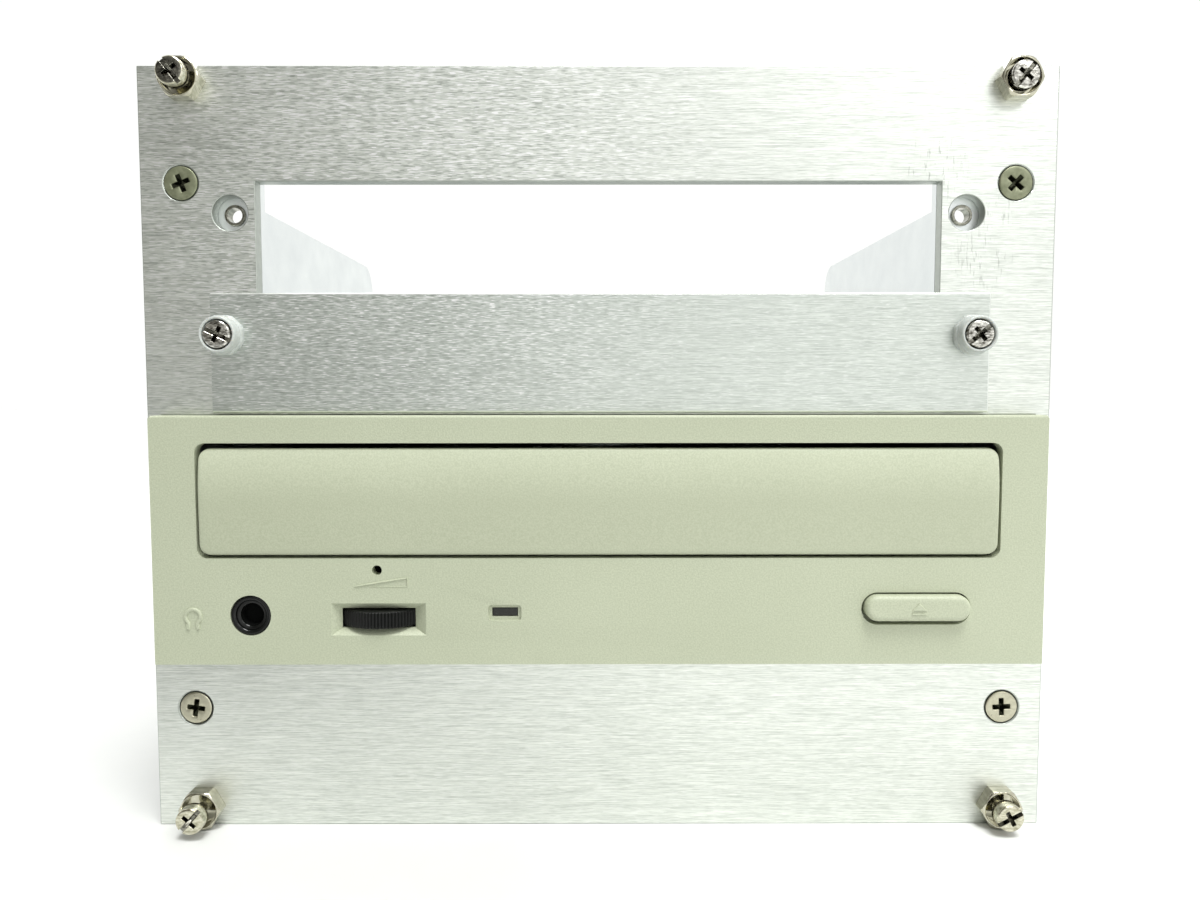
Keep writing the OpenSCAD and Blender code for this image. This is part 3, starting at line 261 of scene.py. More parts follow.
def brushed_aluminium(name, seed_shift, dull, bright, bruises):
    """Aluminium sheet: the grain of an abrasive belt, bright nicks and a few bruises."""
    material, tree, shader, place = start_material(name, Metallic=1.0)
    moved = add(tree, "Mapping", {"Vector": place, "Location": seed_shift})
    grain = noise_at(tree, moved, (9.0, 4.0, 0.10), 1.0, 0.4)
    strands = noise_at(tree, moved, (3.6, 4.0, 0.11), 0.0)
    dashes = noise_at(tree, moved, (1.2, 3.0, 0.12), 0.0)
    cloud = noise_at(tree, moved, (24.0, 20.0, 10.0), 1.0)
    mixed = add(tree, "Math", [grain, strands], operation="ADD")
    tone = add(tree, "MapRange", [mixed, 0.58, 1.42, 0.0, 1.0])
    colour = add(tree, "Mix", {0: tone, 6: dull, 7: bright}, 2, data_type="RGBA")
    colour = nicked(tree, place, dashes, colour)
    colour = bruised(tree, place, moved, colour, bruises)
    rough = add(tree, "MapRange", [grain, 0.0, 1.0, 0.30, 0.46])
    drift = add(tree, "MapRange", [cloud, 0.0, 1.0, -0.04, 0.05])
    rough = add(tree, "Math", [rough, drift], operation="ADD")
    fine = add(tree, "Bump", {"Height": mixed, "Distance": BELT_DEPTH, "Strength": 0.5})
    bumps = add(tree, "Bump", {"Height": dashes, "Distance": BELT_DEPTH, "Strength": 0.2,
                               "Normal": fine})
    feed(shader, Base_Color=colour, Roughness=rough, Normal=bumps)
    return material


# the panel is bright, with three bruises by its upper right corner: x, z and reach of each
panel_aluminium = brushed_aluminium("brushed_aluminium_panel", (0, 0, 0), "#C6CBC4", "#EEF1EB",
                                    ((64.0, 97.0, 6.0), (66.0, 104.5, 4.0), (56.0, 111.5, 7.0)))
# the plate is of another batch, a little greyer, with two small bruises on its upper edge
plate_aluminium = brushed_aluminium("brushed_aluminium_plate", (0.31, 0.17, 0.23), "#B5BBB5",
                                    "#DADFD9", ((45.0, 91.6, 2.0), (31.0, 91.4, 1.6)))
print("brushed aluminium for the panel and for the plate")

# %% [markdown]
# ## Plated metals
#
# Nickel plate on turned brass or steel is warm, bright and almost a mirror, with a faint tool
# mark. Zinc-plated sheet is greyer and duller, with a cloudy bloom from the plating bath. The
# cans of small motors are drawn steel under a thin bright plate. All of them are one recipe: a
# slow cloud that changes colour and gloss, and finer marks that also dent the surface.

# %% Recipe for plated metals


def plated_metal(name, dark, bright, rough_low, rough_high, cloud_mm, mark_mm, mark_depth,
                 calm=0.5):
    """A plated metal: cloudy colour and gloss from the bath, more so the less calm it is."""
    material, tree, shader, place = start_material(name, Metallic=1.0)
    cloud = noise_at(tree, place, cloud_mm, 3.0, 0.6)
    marks = noise_at(tree, place, mark_mm, 2.0, 0.6)
    clouded = add(tree, "MapRange", [cloud, 0.5 - calm, 0.5 + calm, 0.0, 1.0])
    colour = add(tree, "Mix", {0: clouded, 6: dark, 7: bright}, 2, data_type="RGBA")
    mixed = add(tree, "Math", [cloud, marks], operation="MULTIPLY")
    rough = add(tree, "MapRange", [mixed, 0.1, 0.45, rough_low, rough_high])
    dents = add(tree, "Bump", {"Height": marks, "Distance": mark_depth * MM, "Strength": 0.5})
    feed(shader, Base_Color=colour, Roughness=rough, Normal=dents)
    return material


print("recipe for plated metals ready")

# %% [markdown]
# The bright metals of the front come first: nickel on the captive screws and collars, yellow
# chromate on the countersunk ones. Their clouds are about a millimetre wide, because a head is
# only a few millimetres across and should still show some. Each comment says what the eye gets.

# %% Nickel, brass and chromate
# turned and plated screw: a bright mirror with small dull patches
nickel = plated_metal("nickel_plate", "#57544B", "#F1EFE8", 0.05, 0.18, (0.9, 0.7, 0.35), 0.38,
                      0.06, 0.16)
# the same plate painted darker: painted shade in slots and crosses; the upper left captive face too
nickel_painted_dark = plated_metal("nickel_plate_painted_dark", "#45443D", "#A5A398", 0.10, 0.26,
                           (0.8, 0.6, 0.4), 0.4, 0.05, 0.2)
# nickel gone creamy with age: softer mirror, warm tone
cream_nickel = plated_metal("cream_nickel_plate", "#8F8B72", "#EFECD9", 0.12, 0.28,
                            (0.9, 0.7, 0.4), 0.34, 0.03, 0.24)
# the lower pair of countersunk heads: pale, satin, hardly mirrors
aged_nickel = plated_metal("aged_nickel_plate", "#A19E88", "#CFCCB9", 0.26, 0.42, 0.8, 0.25, 0.008)
# chromate on zinc: olive drab, half of the metal's mirror gone
yellow_chromate = plated_metal("yellow_chromate_plate", "#6A6E55", "#969A80", 0.28, 0.44, 1.4,
                               0.25, 0.02, 0.3)
yellow_chromate.node_tree.nodes["Principled BSDF"].inputs["Metallic"].default_value = 0.5
# turned brass under smooth nickel: the collar's cone is the clearest mirror of all
collar_nickel = plated_metal("nickel_plated_brass", "#8C8974", "#E2DFCE", 0.05, 0.16, 1.4, 0.25,
                             0.004)
# press nuts in the bay: nickel painted darker, a painted dark reflection, soft streaks front to
# back
press_nut_dark_reflection = plated_metal("nickel_plate_painted_reflection", "#55564C", "#B9B8AC", 0.10, 0.24,
                          (0.9, 3.0, 0.5), 0.4, 0.02, 0.25)
# painted shade in a cross recess: nearly black, with a rough sparkle of metal
recess_shade_paint = plated_metal("painted_shade_in_recess", "#2C2E23", "#5C5E4E", 0.30, 0.55, 0.5, 0.2, 0.04)
print("nickel, brass and chromate ready")

# %% [markdown]
# Sheet, rods and cut edges are plainer. Zinc from a bath grows a bloom some millimetres wide,
# ground rod has hardly any pattern, and a sawn edge is rough with fine marks all over.

# %% Zinc, steel and cut aluminium
# bay brackets and small plates: pale and satin, with a slow bloom
zinc_sheet = plated_metal("zinc_plated_sheet", "#DADFE0", "#F8FBFA", 0.30, 0.46, 7.0, 0.5, 0.01)
# the drive's own case: a greyer satin
case_steel = plated_metal("galvanised_sheet", "#A3A7A7", "#BCC0BF", 0.28, 0.42, 5.0, 0.6, 0.012)
# the drive's rails: between the two
rail_zinc = plated_metal("zinc_plated_rail", "#AEB3B5", "#CBD0CF", 0.30, 0.46, 6.0, 0.5, 0.01)
# small screws: grey and a little glossy
screw_steel = plated_metal("zinc_plated_steel", "#8D8C84", "#BDBBB0", 0.22, 0.40, 1.2, 0.25, 0.008)
# deep-drawn motor cans: smooth, with a clear sheen
motor_steel = plated_metal("drawn_steel_can", "#A6A7A6", "#CFCFCD", 0.18, 0.32, 5.0, 0.4, 0.006)
# the pickup's guide rods: ground almost to a mirror
ground_rod = plated_metal("ground_steel_rod", "#B5B5B3", "#DEDEDC", 0.08, 0.18, 3.0, 0.2, 0.003)
# the panel's cut edges: rough and grey from the saw
sawn_aluminium = plated_metal("sawn_aluminium_edge", "#9CA19A", "#C8CDC6", 0.34, 0.52, 1.5, 0.2,
                              0.012)
# the plate's edges: painted brighter than its face, a painted highlight that draws a line around it
plate_edge_highlight = plated_metal("aluminium_edge_painted_highlight", "#D5D9D4", "#F7F9F6", 0.30, 0.44, 1.5, 0.2,
                            0.01)
print("zinc, steel and cut aluminium ready")

# %% [markdown]
# ## Plastics and rubber
#
# The bezel is moulded ABS. Its steel mould was etched, so the surface has a fine, even grain
# that spreads highlights softly. Inner parts are glossier acetal or dark glass-filled plastic.
# One recipe serves all: a slow drift of tone across a moulding, and a fine grain that lightens
# the colour, changes the gloss and stands up as bumps. Natural nylon and acetal are a little
# milky, so some light goes in and comes out beside the place where it entered.

# %% Recipe for moulded plastics
MILK_DEPTH = (0.6 * MM, 0.5 * MM, 0.4 * MM)    # how far red, green and blue light travel inside
# colour of a painted shade that darkens a moulding below a given height
LOWER_SHADE_PAINT = "#8A8F74"


def moulded(name, colour, shade, grain_mm, grain_depth, rough_low, rough_high, milky=0.0,
            shade_fade_mm=None):
    """Moulded plastic; its last argument is the height range where a painted shade fades out."""
    material, tree, shader, place = start_material(name, IOR=1.53)
    drift = noise_at(tree, place, 28.0, 2.0)
    grain = noise_at(tree, place, grain_mm, 3.0, 0.6)
    drift = add(tree, "MapRange", [drift, 0.3, 0.7, 0.0, 1.0])
    tone = add(tree, "Mix", {0: drift, 6: colour, 7: shade}, 2, data_type="RGBA")
    light = add(tree, "MapRange", [grain, 0.39, 0.61, 0.0, 0.3])
    tone = add(tree, "Mix", {0: light, 6: tone, 7: "#FFFFFF"}, 2, data_type="RGBA",
               blend_type="SOFT_LIGHT")
    # painted shade: below the range the colour goes 30 per cent of the way to a dark putty, none
    # above
    if shade_fade_mm:
        height = add(tree, "SeparateXYZ", [place], "Z")
        shade_amount = add(tree, "MapRange", [height, *(z * MM for z in shade_fade_mm), 0.30, 0.0])
        tone = add(tree, "Mix", {0: shade_amount, 6: tone, 7: LOWER_SHADE_PAINT}, 2, data_type="RGBA")
    rough = add(tree, "MapRange", [grain, 0.3, 0.7, rough_low, rough_high])
    bumps = add(tree, "Bump", {"Height": grain, "Distance": grain_depth * MM, "Strength": 0.8})
    feed(shader, Base_Color=tone, Roughness=rough, Normal=bumps)
    if milky:
        shader.inputs["Subsurface Weight"].default_value = milky
        shader.inputs["Subsurface Radius"].default_value = MILK_DEPTH
        shader.inputs["Subsurface Scale"].default_value = 1.0
    return material


print("recipe for moulded plastics ready")

# %% [markdown]
# Each plastic below starts from its usual look and was then set beside the real piece. Black
# ones are darker and mirror less than a plain black, because a fine texture traps the light.

# %% Plastics and rubber
# bezel and button: putty ABS with an etched grain, matt with a soft sheen
bezel_abs = moulded("textured_abs_bezel", "#ABB199", "#A7AD95", 0.26, 0.035, 0.44, 0.58)
# the door: the same ABS rubbed glossier and painted lighter than the bezel, with a painted shade
# below its middle that fades out towards its top, so that the top looks lit
lit_door_abs = moulded("textured_abs_door_painted_light", "#B3B9A1", "#AFB59D", 0.26, 0.03, 0.36, 0.50,
                   shade_fade_mm=(56.5, 65.5))
# the disc tray: greyer, from a coarser mould
tray_abs = moulded("moulded_abs_tray", "#A9A99D", "#A3A396", 0.5, 0.02, 0.42, 0.55)
# screw sleeves: nylon without pigment, milky and a little glossy
sleeve_nylon = moulded("natural_nylon_sleeve", "#B7BCB8", "#ACB1AD", 0.5, 0.015, 0.30, 0.42, 0.25)
# gears, puck and plugs: acetal, creamy white and waxy
acetal = moulded("natural_acetal", "#EAE8DE", "#DFDDD0", 0.6, 0.01, 0.26, 0.38, 0.2)
# switches, chips and sockets: black ABS with a fair sheen
black_abs = moulded("black_abs", "#17181A", "#1E1F21", 0.35, 0.015, 0.32, 0.46)
# loader, lift and sled: nylon filled with glass, charcoal and rather rough
dark_frame = moulded("glass_filled_frame", "#2B2C2E", "#343537", 0.4, 0.03, 0.42, 0.60)
# the headphone socket's ring: polished black, with thin bright highlights
gloss_black = moulded("glossy_black_abs", "#050605", "#090A09", 0.4, 0.008, 0.12, 0.20)
# the volume wheel: its ribs hold shade between them
ribbed_abs = moulded("ribbed_black_abs", "#0D0E0D", "#121312", 0.3, 0.01, 0.38, 0.50)
# down the socket's bore hardly any light comes back
matt_black = moulded("matt_black_bore", "#0B0C0B", "#0F100F", 0.3, 0.02, 0.80, 0.95)
# mounts and belt: black rubber, quite matt
rubber = moulded("moulded_rubber", "#161616", "#1F1E1D", 0.3, 0.02, 0.62, 0.80)
# the lid's label: coated paper, flat and grey
label_paper = moulded("coated_label_paper", "#B9BAB4", "#B3B4AD", 0.2, 0.004, 0.45, 0.60)
# its printing: a thin black film
printing_ink = moulded("black_printing_ink", "#1B1B1C", "#202021", 0.2, 0.003, 0.40, 0.55)
for dark, mirror in ((gloss_black, 0.3), (ribbed_abs, 0.2), (matt_black, 0.05)):
    dark.node_tree.nodes["Principled BSDF"].inputs["Specular IOR Level"].default_value = mirror
print("plastics and rubber ready")

# %% [markdown]
# Three more surfaces are thin layers: the green solder mask of a circuit board with its copper
# under it, the tinted window of the activity lamp, and the coated lens of the pickup. A board's
# tracks run in straight lines that meet, as the borders of flat Voronoi cells do, so those are
# drawn as copper. The windows let some light through instead of mirroring all of it.

# %% Boards and windows
TRACK_GAP = 2.4    # millimetres between the copper tracks of a board


def solder_mask():
    """A board's green lacquer: darker over bare laminate, lighter and raised over copper."""
    material, tree, shader, place = start_material("green_solder_mask", IOR=1.5)
    scale = 1 / (TRACK_GAP * MM)
    flat = add(tree, "Mapping", {"Vector": place, "Scale": (scale, scale, 0)})
    borders = add(tree, "TexVoronoi", {"Vector": flat, "Scale": 1.0, "Randomness": 0.35},
                  "Distance", feature="DISTANCE_TO_EDGE", voronoi_dimensions="2D")
    copper = add(tree, "ValToRGB", [borders], stops=((0.0, 1.0), (0.07, 0.0)))
    colour = add(tree, "Mix", {0: copper, 6: "#0F4A2C", 7: "#1D6B3F"}, 2, data_type="RGBA")
    rough = add(tree, "MapRange", [noise_at(tree, place, 3.0), 0.0, 1.0, 0.22, 0.36])
    bumps = add(tree, "Bump", {"Height": copper, "Distance": 0.03 * MM, "Strength": 0.6})
    feed(shader, Base_Color=colour, Roughness=rough, Normal=bumps)
    return material


def tinted_window(name, colour, rough, clear):
    """A small clear part, hazy in spots; clear is the share of light that passes through."""
    material, tree, shader, place = start_material(name, IOR=1.49, Transmission_Weight=clear)
    haze = noise_at(tree, place, 0.8)
    colour = add(tree, "Mix", {0: haze, 6: colour, 7: "#1E2119"}, 2, data_type="RGBA")
    rough = add(tree, "MapRange", [haze, 0.0, 1.0, rough, rough + 0.12])
    feed(shader, Base_Color=colour, Roughness=rough)
    return material


board_green = solder_mask()
# the lamp is off, so its dark acrylic window shows only a dim sheen
lamp_window = tinted_window("tinted_acrylic_window", "#14160F", 0.16, 0.05)
# glass with a blue coating, clear enough to look into
coated_lens = tinted_window("coated_glass_lens", "#6C86B8", 0.04, 0.7)
print("board, lamp window and lens ready")

# %% [markdown]
# ## How a piece is finished
#
# Every finished piece has to ride on the body that its CAD node rides on, or it would stay behind
# when a joint moves. `place_piece` sees to that and gives the piece its materials. `mesh_object`
# makes an object of a mesh, smooth to the eye but for its real edges.

# %% Functions that place a piece


def place_piece(piece, stands_for, *materials):
    """Puts a piece on its body; stands_for is the CAD node it replaces or belongs to."""
    for material in materials:
        piece.data.materials.append(material)
    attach(piece, nodes[stands_for]["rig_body"])
    return piece


def mesh_object(bm, name, smooth=True, sharp=32.0):
    """Turns a bmesh into an object, smooth except at edges sharper than the given angle."""
    bmesh.ops.recalc_face_normals(bm, faces=bm.faces)
    mesh = bpy.data.meshes.new(name)
    bm.to_mesh(mesh)
    bm.free()
    piece = bpy.data.objects.new(name, mesh)
    bpy.context.scene.collection.objects.link(piece)
    if smooth:
        mesh.shade_smooth()
        mesh.set_sharp_from_angle(angle=math.radians(sharp))
    return piece


# %% [markdown]
# A CAD solid has perfectly sharp edges, and a real edge never is: it is broken by a file, by the
# mould or by the tumbler, and that small round catches a line of light. `soft_copy` copies a CAD
# node's mesh, merges its loose triangles, joins flat ones into whole faces and rounds its edges
# with a Bevel modifier. Cut sheet also gets a second material on its narrow sides.

# %% Functions that break edges


def merged(node):
    """A bmesh of a CAD node, its triangles merged and its flat faces joined."""
    bm = bmesh.new()
    bm.from_mesh(nodes[node].data)
    bmesh.ops.remove_doubles(bm, verts=bm.verts, dist=0.001 * MM)
    bmesh.ops.dissolve_limit(bm, angle_limit=math.radians(0.6), verts=bm.verts, edges=bm.edges)
    return bm


def soft_copy(node, width_mm, material, segments=2, angle=32.0, cut=None):
    """A copy of a CAD node with its edges broken, which takes the node's place."""
    bm = merged(node)
    if cut:
        for face in bm.faces:
            face.material_index = int(abs(face.normal.y) < 0.5)
    piece = mesh_object(bm, node + "_finished", sharp=angle)
    edge = piece.modifiers.new("edge", "BEVEL")
    edge.width = width_mm * MM
    edge.segments = segments
    edge.limit_method = "ANGLE"
    edge.angle_limit = math.radians(angle)
    edge.harden_normals = True
    edge.use_clamp_overlap = not cut
    edge.material = 1 if cut else -1
    place_piece(piece, node, *([material, cut] if cut else [material]))
    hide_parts(node)
    return piece


print("edges can be broken")

# %% [markdown]
# ## Outlines and rings
#
# The parts that show most are built ring by ring, from the back of a part round to its front, as
# a lathe or a mould would make them. A ring is a closed line of points around an axis that runs
# front to back. Its radius is a number for a turned part, or changes with the angle for a hexagon
# or a cross recess, so a round neck can run into a six-sided collar. A spin could only make the
# round ones. Points stand closest where a cross or a hexagon has its corners. All of this is in
# millimetres; `finished` turns it into metres at the end.

# %% Rings
EIGHTH = (0, 4, 8, 11, 13.5, 16, 20, 27, 36, 45)
QUARTER = EIGHTH + tuple(90 - a for a in reversed(EIGHTH[:-1]))
ANGLES = [math.radians(a + 90 * k) for k in range(4) for a in QUARTER[:-1]]


def ring(centre, depth, radius, turn=0.0):
    """A ring around a front-to-back axis; radius is a number or a function of the angle."""
    points = []
    for angle in ANGLES:
        r = radius(angle) if callable(radius) else radius
        points.append((centre[0] + r * math.cos(angle + turn), depth,
                       centre[1] + r * math.sin(angle + turn)))
    return points


def cross(arm, half):
    """Radius of a cross whose arms are arm long and twice half wide."""
    def radius(angle):
        off = abs((angle + math.pi / 4) % (math.pi / 2) - math.pi / 4)
        return min(arm / math.cos(off), half / max(math.sin(off), 1e-6))
    return radius


def many_sided(flats, sides, corner, first=0.0):
    """Radius of a polygon of the given half width across flats, its corners turned off."""
    def radius(angle):
        off = (angle - first) % (2 * math.pi / sides) - math.pi / sides
        return min(flats / math.cos(off), corner)
    return radius


def thread(start, end, outer, groove=0.15, pitch=0.45):
    """Radius and depth pairs down the flanks of a thread."""
    turns = int((end - start) / pitch)
    return [(outer - cut, start + (turn + along) * (end - start) / turns)
            for turn in range(turns) for cut, along in ((groove, 0.0), (0, 0.4), (0, 0.55))]


print("a ring has", len(ANGLES), "points")

# %% [markdown]
# `loft` joins the rings. The bridge operator pairs the points that lie nearest to each other,
# which twists a cross against a circle, so here each point is joined to the one of the same
# number on the next ring. The last few bands may have another material, as the dark inside of a
# recess has.

# %% Lofts


def loft(bm, rings, material=0, last=0, last_material=0):
    """Joins rings of equally many points and closes both ends; the last bands may differ."""
    rows = [[bm.verts.new(point) for point in points] for points in rings]
    count = len(rows[0])
    faces = [bm.faces.new(rows[0])]
    faces += [bm.faces.new((near[i], near[(i + 1) % count], far[(i + 1) % count], far[i]))
              for near, far in zip(rows, rows[1:]) for i in range(count)]
    faces.append(bm.faces.new(rows[-1]))
    recess = len(faces) - 1 - last * count if last else len(faces)
    for number, face in enumerate(faces):
        face.material_index = last_material if number >= recess else material
    return faces


def finished(bm, node, *materials, sharp=32.0):
    """Scales a part from millimetres to metres and lets it stand for its CAD node."""
    bmesh.ops.scale(bm, vec=(MM, MM, MM), verts=bm.verts)
    piece = mesh_object(bm, node + "_finished", sharp=sharp)
    place_piece(piece, node, *materials)
    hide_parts(node)
    return piece


print("rings can be joined")

# %% [markdown]
# ## Screws of the front
#
# Two kinds of screw show. Four countersunk ones with a cross recess hold the panel to its
# brackets, and six captive ones have a tall round head with a slot and a cross, a thin neck and a
# short thread. Someone has used a screwdriver on all of them, so their recesses point every way.
#
# A countersunk screw is one loft: from its tip up the thread, out along the cone to a thin rim,
# over the slightly domed head and down into the cross, whose last three bands are painted dark as
# shade.

# %% Countersunk screws
SEAT = 2.85        # radius of a head in the CAD, which sets its axis
NECK = 1.45        # radius under the cone


def countersunk_screw(bm, centre, front, tip, turn, material, head):
    """One screw; its cross has a painted shade inside, and its edges are broken and bright."""
    shape = [(0.7, tip), (1.1, tip - 0.4)]
    shape += reversed(thread(front + 1.9, tip - 0.5, 1.43))
    shape += [(NECK, front + 1.6), (head - 0.05, front + 0.24), (head, front + 0.16),
              (head, front + 0.08), (head - 0.06, front), (head - 0.16, front - 0.05),
              (head - 0.30, front - 0.075), (head - 0.6, front - 0.09), (1.95, front - 0.10)]
    shape += [(cross(arm, half), front + depth) for arm, half, depth in
              ((1.66, 0.54, -0.10), (1.57, 0.46, -0.05), (1.51, 0.40, 0.06), (1.40, 0.33, 0.22),
               (1.02, 0.27, 0.80), (0.55, 0.22, 1.25))]
    loft(bm, [ring(centre, depth, radius, turn) for radius, depth in shape], material, 3, 2)


screws = bmesh.new()
screws_low, screws_high = low("countersunk_screws"), high("countersunk_screws")
for side, top, turn in ((-1, True, 22), (1, True, 48), (-1, False, -8), (1, False, 3)):
    centre = (side * (screws_high.x - SEAT), screws_high.z - SEAT if top else screws_low.z + SEAT)
    # the upper two are chromated and a little larger, the lower two plain and aged
    countersunk_screw(screws, centre, PANEL_FRONT, screws_high.y, math.radians(turn),
                      int(not top), 2.78 if top else 2.70)
finished(screws, "countersunk_screws", yellow_chromate, aged_nickel, recess_shade_paint, sharp=34)
print("4 countersunk screws")

# %% [markdown]
# The captive screw's head is closed by two half-moons, the lands on either side of its slot. Each
# is a flat plate with a notch for the cross. Its outer rim is rounded off by the lathe, and the
# walls of slot and notch are of the darker metal, a painted shade. Cutting the slot out of a disc
# with a boolean would leave its edges sharp, so each land is lofted with its edges already broken.

# %% Half-moons of a slotted head
SLOT, NOTCH, ARM = 0.36, 0.33, 1.3    # half width of slot and notch, and the notch's reach
ARC_STEPS = 26


def land(bm, centre, front, radius, turn):
    """One half-moon of a slotted head: its rim rounded, its slot's edges broken."""
    rows = []
    for rim, rim_depth, edge, edge_depth in (
            (0, 0.75, 0, 0.75), (0, 0.36, 0, 0.36), (0.04, 0.22, 0, 0.2), (0.13, 0.10, 0, 0.1),
            (0.25, 0.03, 0.01, 0.05), (0.42, 0.0, 0.06, 0.0)):
        start = math.asin((SLOT + edge) / (radius - rim))
        arc = [start + (math.pi - 2 * start) * i / ARC_STEPS for i in range(ARC_STEPS + 1)]
        row = [((radius - rim) * math.cos(a), (radius - rim) * math.sin(a), rim_depth) for a in arc]
        row += [(x, z, edge_depth) for x, z in
                ((-NOTCH - edge, SLOT + edge), (-NOTCH - edge, ARM + edge),
                 (NOTCH + edge, ARM + edge), (NOTCH + edge, SLOT + edge))]
        rows.append([(centre[0] + x * math.cos(turn) - z * math.sin(turn), front + y,
                      centre[1] + x * math.sin(turn) + z * math.cos(turn)) for x, z, y in row])
    faces = loft(bm, rows, 2)
    count = len(rows[0])
    # the rim is of the turned metal, the slot's walls of the one with painted shade, the top is the
    # face
    for band in range(4):
        wall = 1 if band < 3 else 2
        for i in range(count):
            faces[1 + band * count + i].material_index = 0 if i < ARC_STEPS else wall


print("a half-moon has", ARC_STEPS, "steps round its rim")

# %% [markdown]
# Under its head the captive screw has a thin neck, on which it can slide in its sleeve without
# falling out, and then a short thread. The long ones hold the panel, and the short ones hold the
# cover plate.

# %% Captive screws
HEAD_TALL = 2.6
THREAD_LONG, THREAD_SHORT = 5.0, 3.0


def captive_screw(node, turn_degrees, turned_metal, recess, face):
    """A screw of three finishes: its turned sides, its recess with painted shade and its face."""
    front, tip = low(node).y, high(node).y
    centre = (middle(node).x, middle(node).z)
    radius = (high(node).x - low(node).x) / 2
    turn = math.radians(turn_degrees)
    under = front + HEAD_TALL
    length = THREAD_LONG if node.startswith("panel") else THREAD_SHORT
    shape = [(0.8, tip), (1.15, tip - 0.4)]
    shape += reversed(thread(tip - length, tip - 0.5, 1.2, 0.13))
    shape += [(0.95, tip - length - 0.2), (0.95, under), (radius - 0.25, under),
              (radius - 0.08, under - 0.07), (radius, under - 0.25),
              (radius, front + 1.6), (radius, front + 0.76), (radius - 0.03, front + 0.72),
              (1.7, front + 0.72)]
    shape += [(cross(arm, half), front + depth) for arm, half, depth in
              ((1.34, 0.37, 0.72), (1.28, 0.33, 0.8), (0.95, 0.28, 1.3), (0.5, 0.2, 1.7))]
    bm = bmesh.new()
    loft(bm, [ring(centre, depth, r, turn) for r, depth in shape], 0, 5, 1)
    land(bm, centre, front, radius, turn)
    land(bm, centre, front, radius, turn + math.pi)
    return finished(bm, node, turned_metal, recess, face, sharp=34)


for node, turn, turned_metal, face in (
        ("panel_screw_top_left", 128, cream_nickel, nickel_painted_dark),
        ("panel_screw_top_right", 51, nickel, nickel),
        ("panel_screw_bottom_left", 48, cream_nickel, cream_nickel),
        ("panel_screw_bottom_right", 28, cream_nickel, cream_nickel),
        ("cover_screw_left", -25, nickel, nickel),
        ("cover_screw_right", 40, nickel, nickel)):
    captive_screw(node, turn, turned_metal, nickel_painted_dark, face)
print("6 captive screws")

# %% [markdown]
# ## Sleeves of the cover plate
#
# The plate's two screws sit in sleeves of natural nylon. Each has an eight-sided foot, a slightly
# tapered body and a rounded lip, and a bore that the head almost fills. Foot, body and bore are
# one turned and milled piece, so they are one loft from the panel's face out through the plate,
# round over the lip and down to the bore's floor.

# %% Nylon sleeves
THROAT = 1.1       # radius at which front and back close round the screw's neck
TENON = 2.0        # radius where the sleeve passes through the sheet
FOOT = 3.25        # half the foot's width across its flats
BORE = 2.48
BORE_FLOOR = 0.56  # how far in front of the plate, or of the panel, a bore ends
sleeves = bmesh.new()
plate_front = low("cover_plate").y
mouth = low("cover_sleeves").y
for node in ("cover_screw_left", "cover_screw_right"):
    centre = (middle(node).x, middle(node).z)
    foot = many_sided(FOOT, 8, FOOT + 0.17, math.pi / 8)
    shape = [(THROAT, PANEL_FRONT), (TENON, PANEL_FRONT), (TENON, plate_front),
             (foot, plate_front), (foot, plate_front - 1.0),
             (many_sided(FOOT - 0.05, 8, FOOT + 0.07, math.pi / 8), plate_front - 1.12),
             (3.12, plate_front - 1.2)]
    shape += [(radius, mouth + depth) for radius, depth in
              ((3.02, 0.5), (2.97, 0.22), (2.90, 0.08), (2.80, 0.01), (2.70, 0), (2.60, 0.04),
               (2.52, 0.14), (BORE, 0.4))]
    shape += [(BORE, plate_front - BORE_FLOOR), (THROAT, plate_front - BORE_FLOOR)]
    loft(sleeves, [ring(centre, depth, radius) for radius, depth in shape])
finished(sleeves, "cover_sleeves", sleeve_nylon, sharp=45)
print("2 sleeves")

# %% [markdown]
# ## Door, button and the other controls
#
# The door's face is crowned: a little above half height it stands almost a millimetre further
# forward than at its top, and its rim is rounded off. A Bevel could round the rim, but not crown
# the face. So rings with the door's outline step from its back over the rounded rim and then
# inwards over the crown. The button is made the same way, with a flat face.

# %% Rounded outlines
CORNER_STEPS, SIDE_STEPS, RIM_STEPS = 8, 12, 5


def rounded_outline(centre, half_wide, half_high, radius):
    """Points of a rectangle with round corners, with extra points along its straight sides."""
    straight_x, straight_z = half_wide - radius, half_high - radius
    points = []
    # each corner: its two signs, where its arc begins, and where the next corner's arc begins
    for sx, sz, first, following in ((1, -1, -90, (half_wide, straight_z)),
                                     (1, 1, 0, (-straight_x, half_high)),
                                     (-1, 1, 90, (-half_wide, -straight_z)),
                                     (-1, -1, 180, (straight_x, -half_high))):
        for i in range(CORNER_STEPS + 1):
            angle = math.radians(first + 90 * i / CORNER_STEPS)
            points.append((centre[0] + sx * straight_x + radius * math.cos(angle),
                           centre[1] + sz * straight_z + radius * math.sin(angle)))
        last = points[-1]
        for i in range(1, SIDE_STEPS):
            points.append((last[0] + (centre[0] + following[0] - last[0]) * i / SIDE_STEPS,
                           last[1] + (centre[1] + following[1] - last[1]) * i / SIDE_STEPS))
    return points


def moulded_face(centre, half_wide, half_high, corner, back, surface, edge, steps):
    """Rings of a moulded block: back, straight sides, a rounded rim, then in over its face."""
    def at(inset, depth):
        outline = rounded_outline(centre, half_wide - inset, half_high - inset,
                                  max(corner - inset, 0.03))
        return [(x, depth(x, z), z) for x, z in outline]
    rings = [at(0, lambda x, z: back)]
    for i in range(RIM_STEPS + 1):
        angle = math.pi / 2 * i / RIM_STEPS
        inset, lift = edge * (1 - math.cos(angle)), edge * (1 - math.sin(angle))
        rings.append(at(inset, lambda x, z, lift=lift: surface(x, z) + lift))
    return rings + [at(inset, surface) for inset in steps]


print("an outline has", 4 * (CORNER_STEPS + SIDE_STEPS), "points")
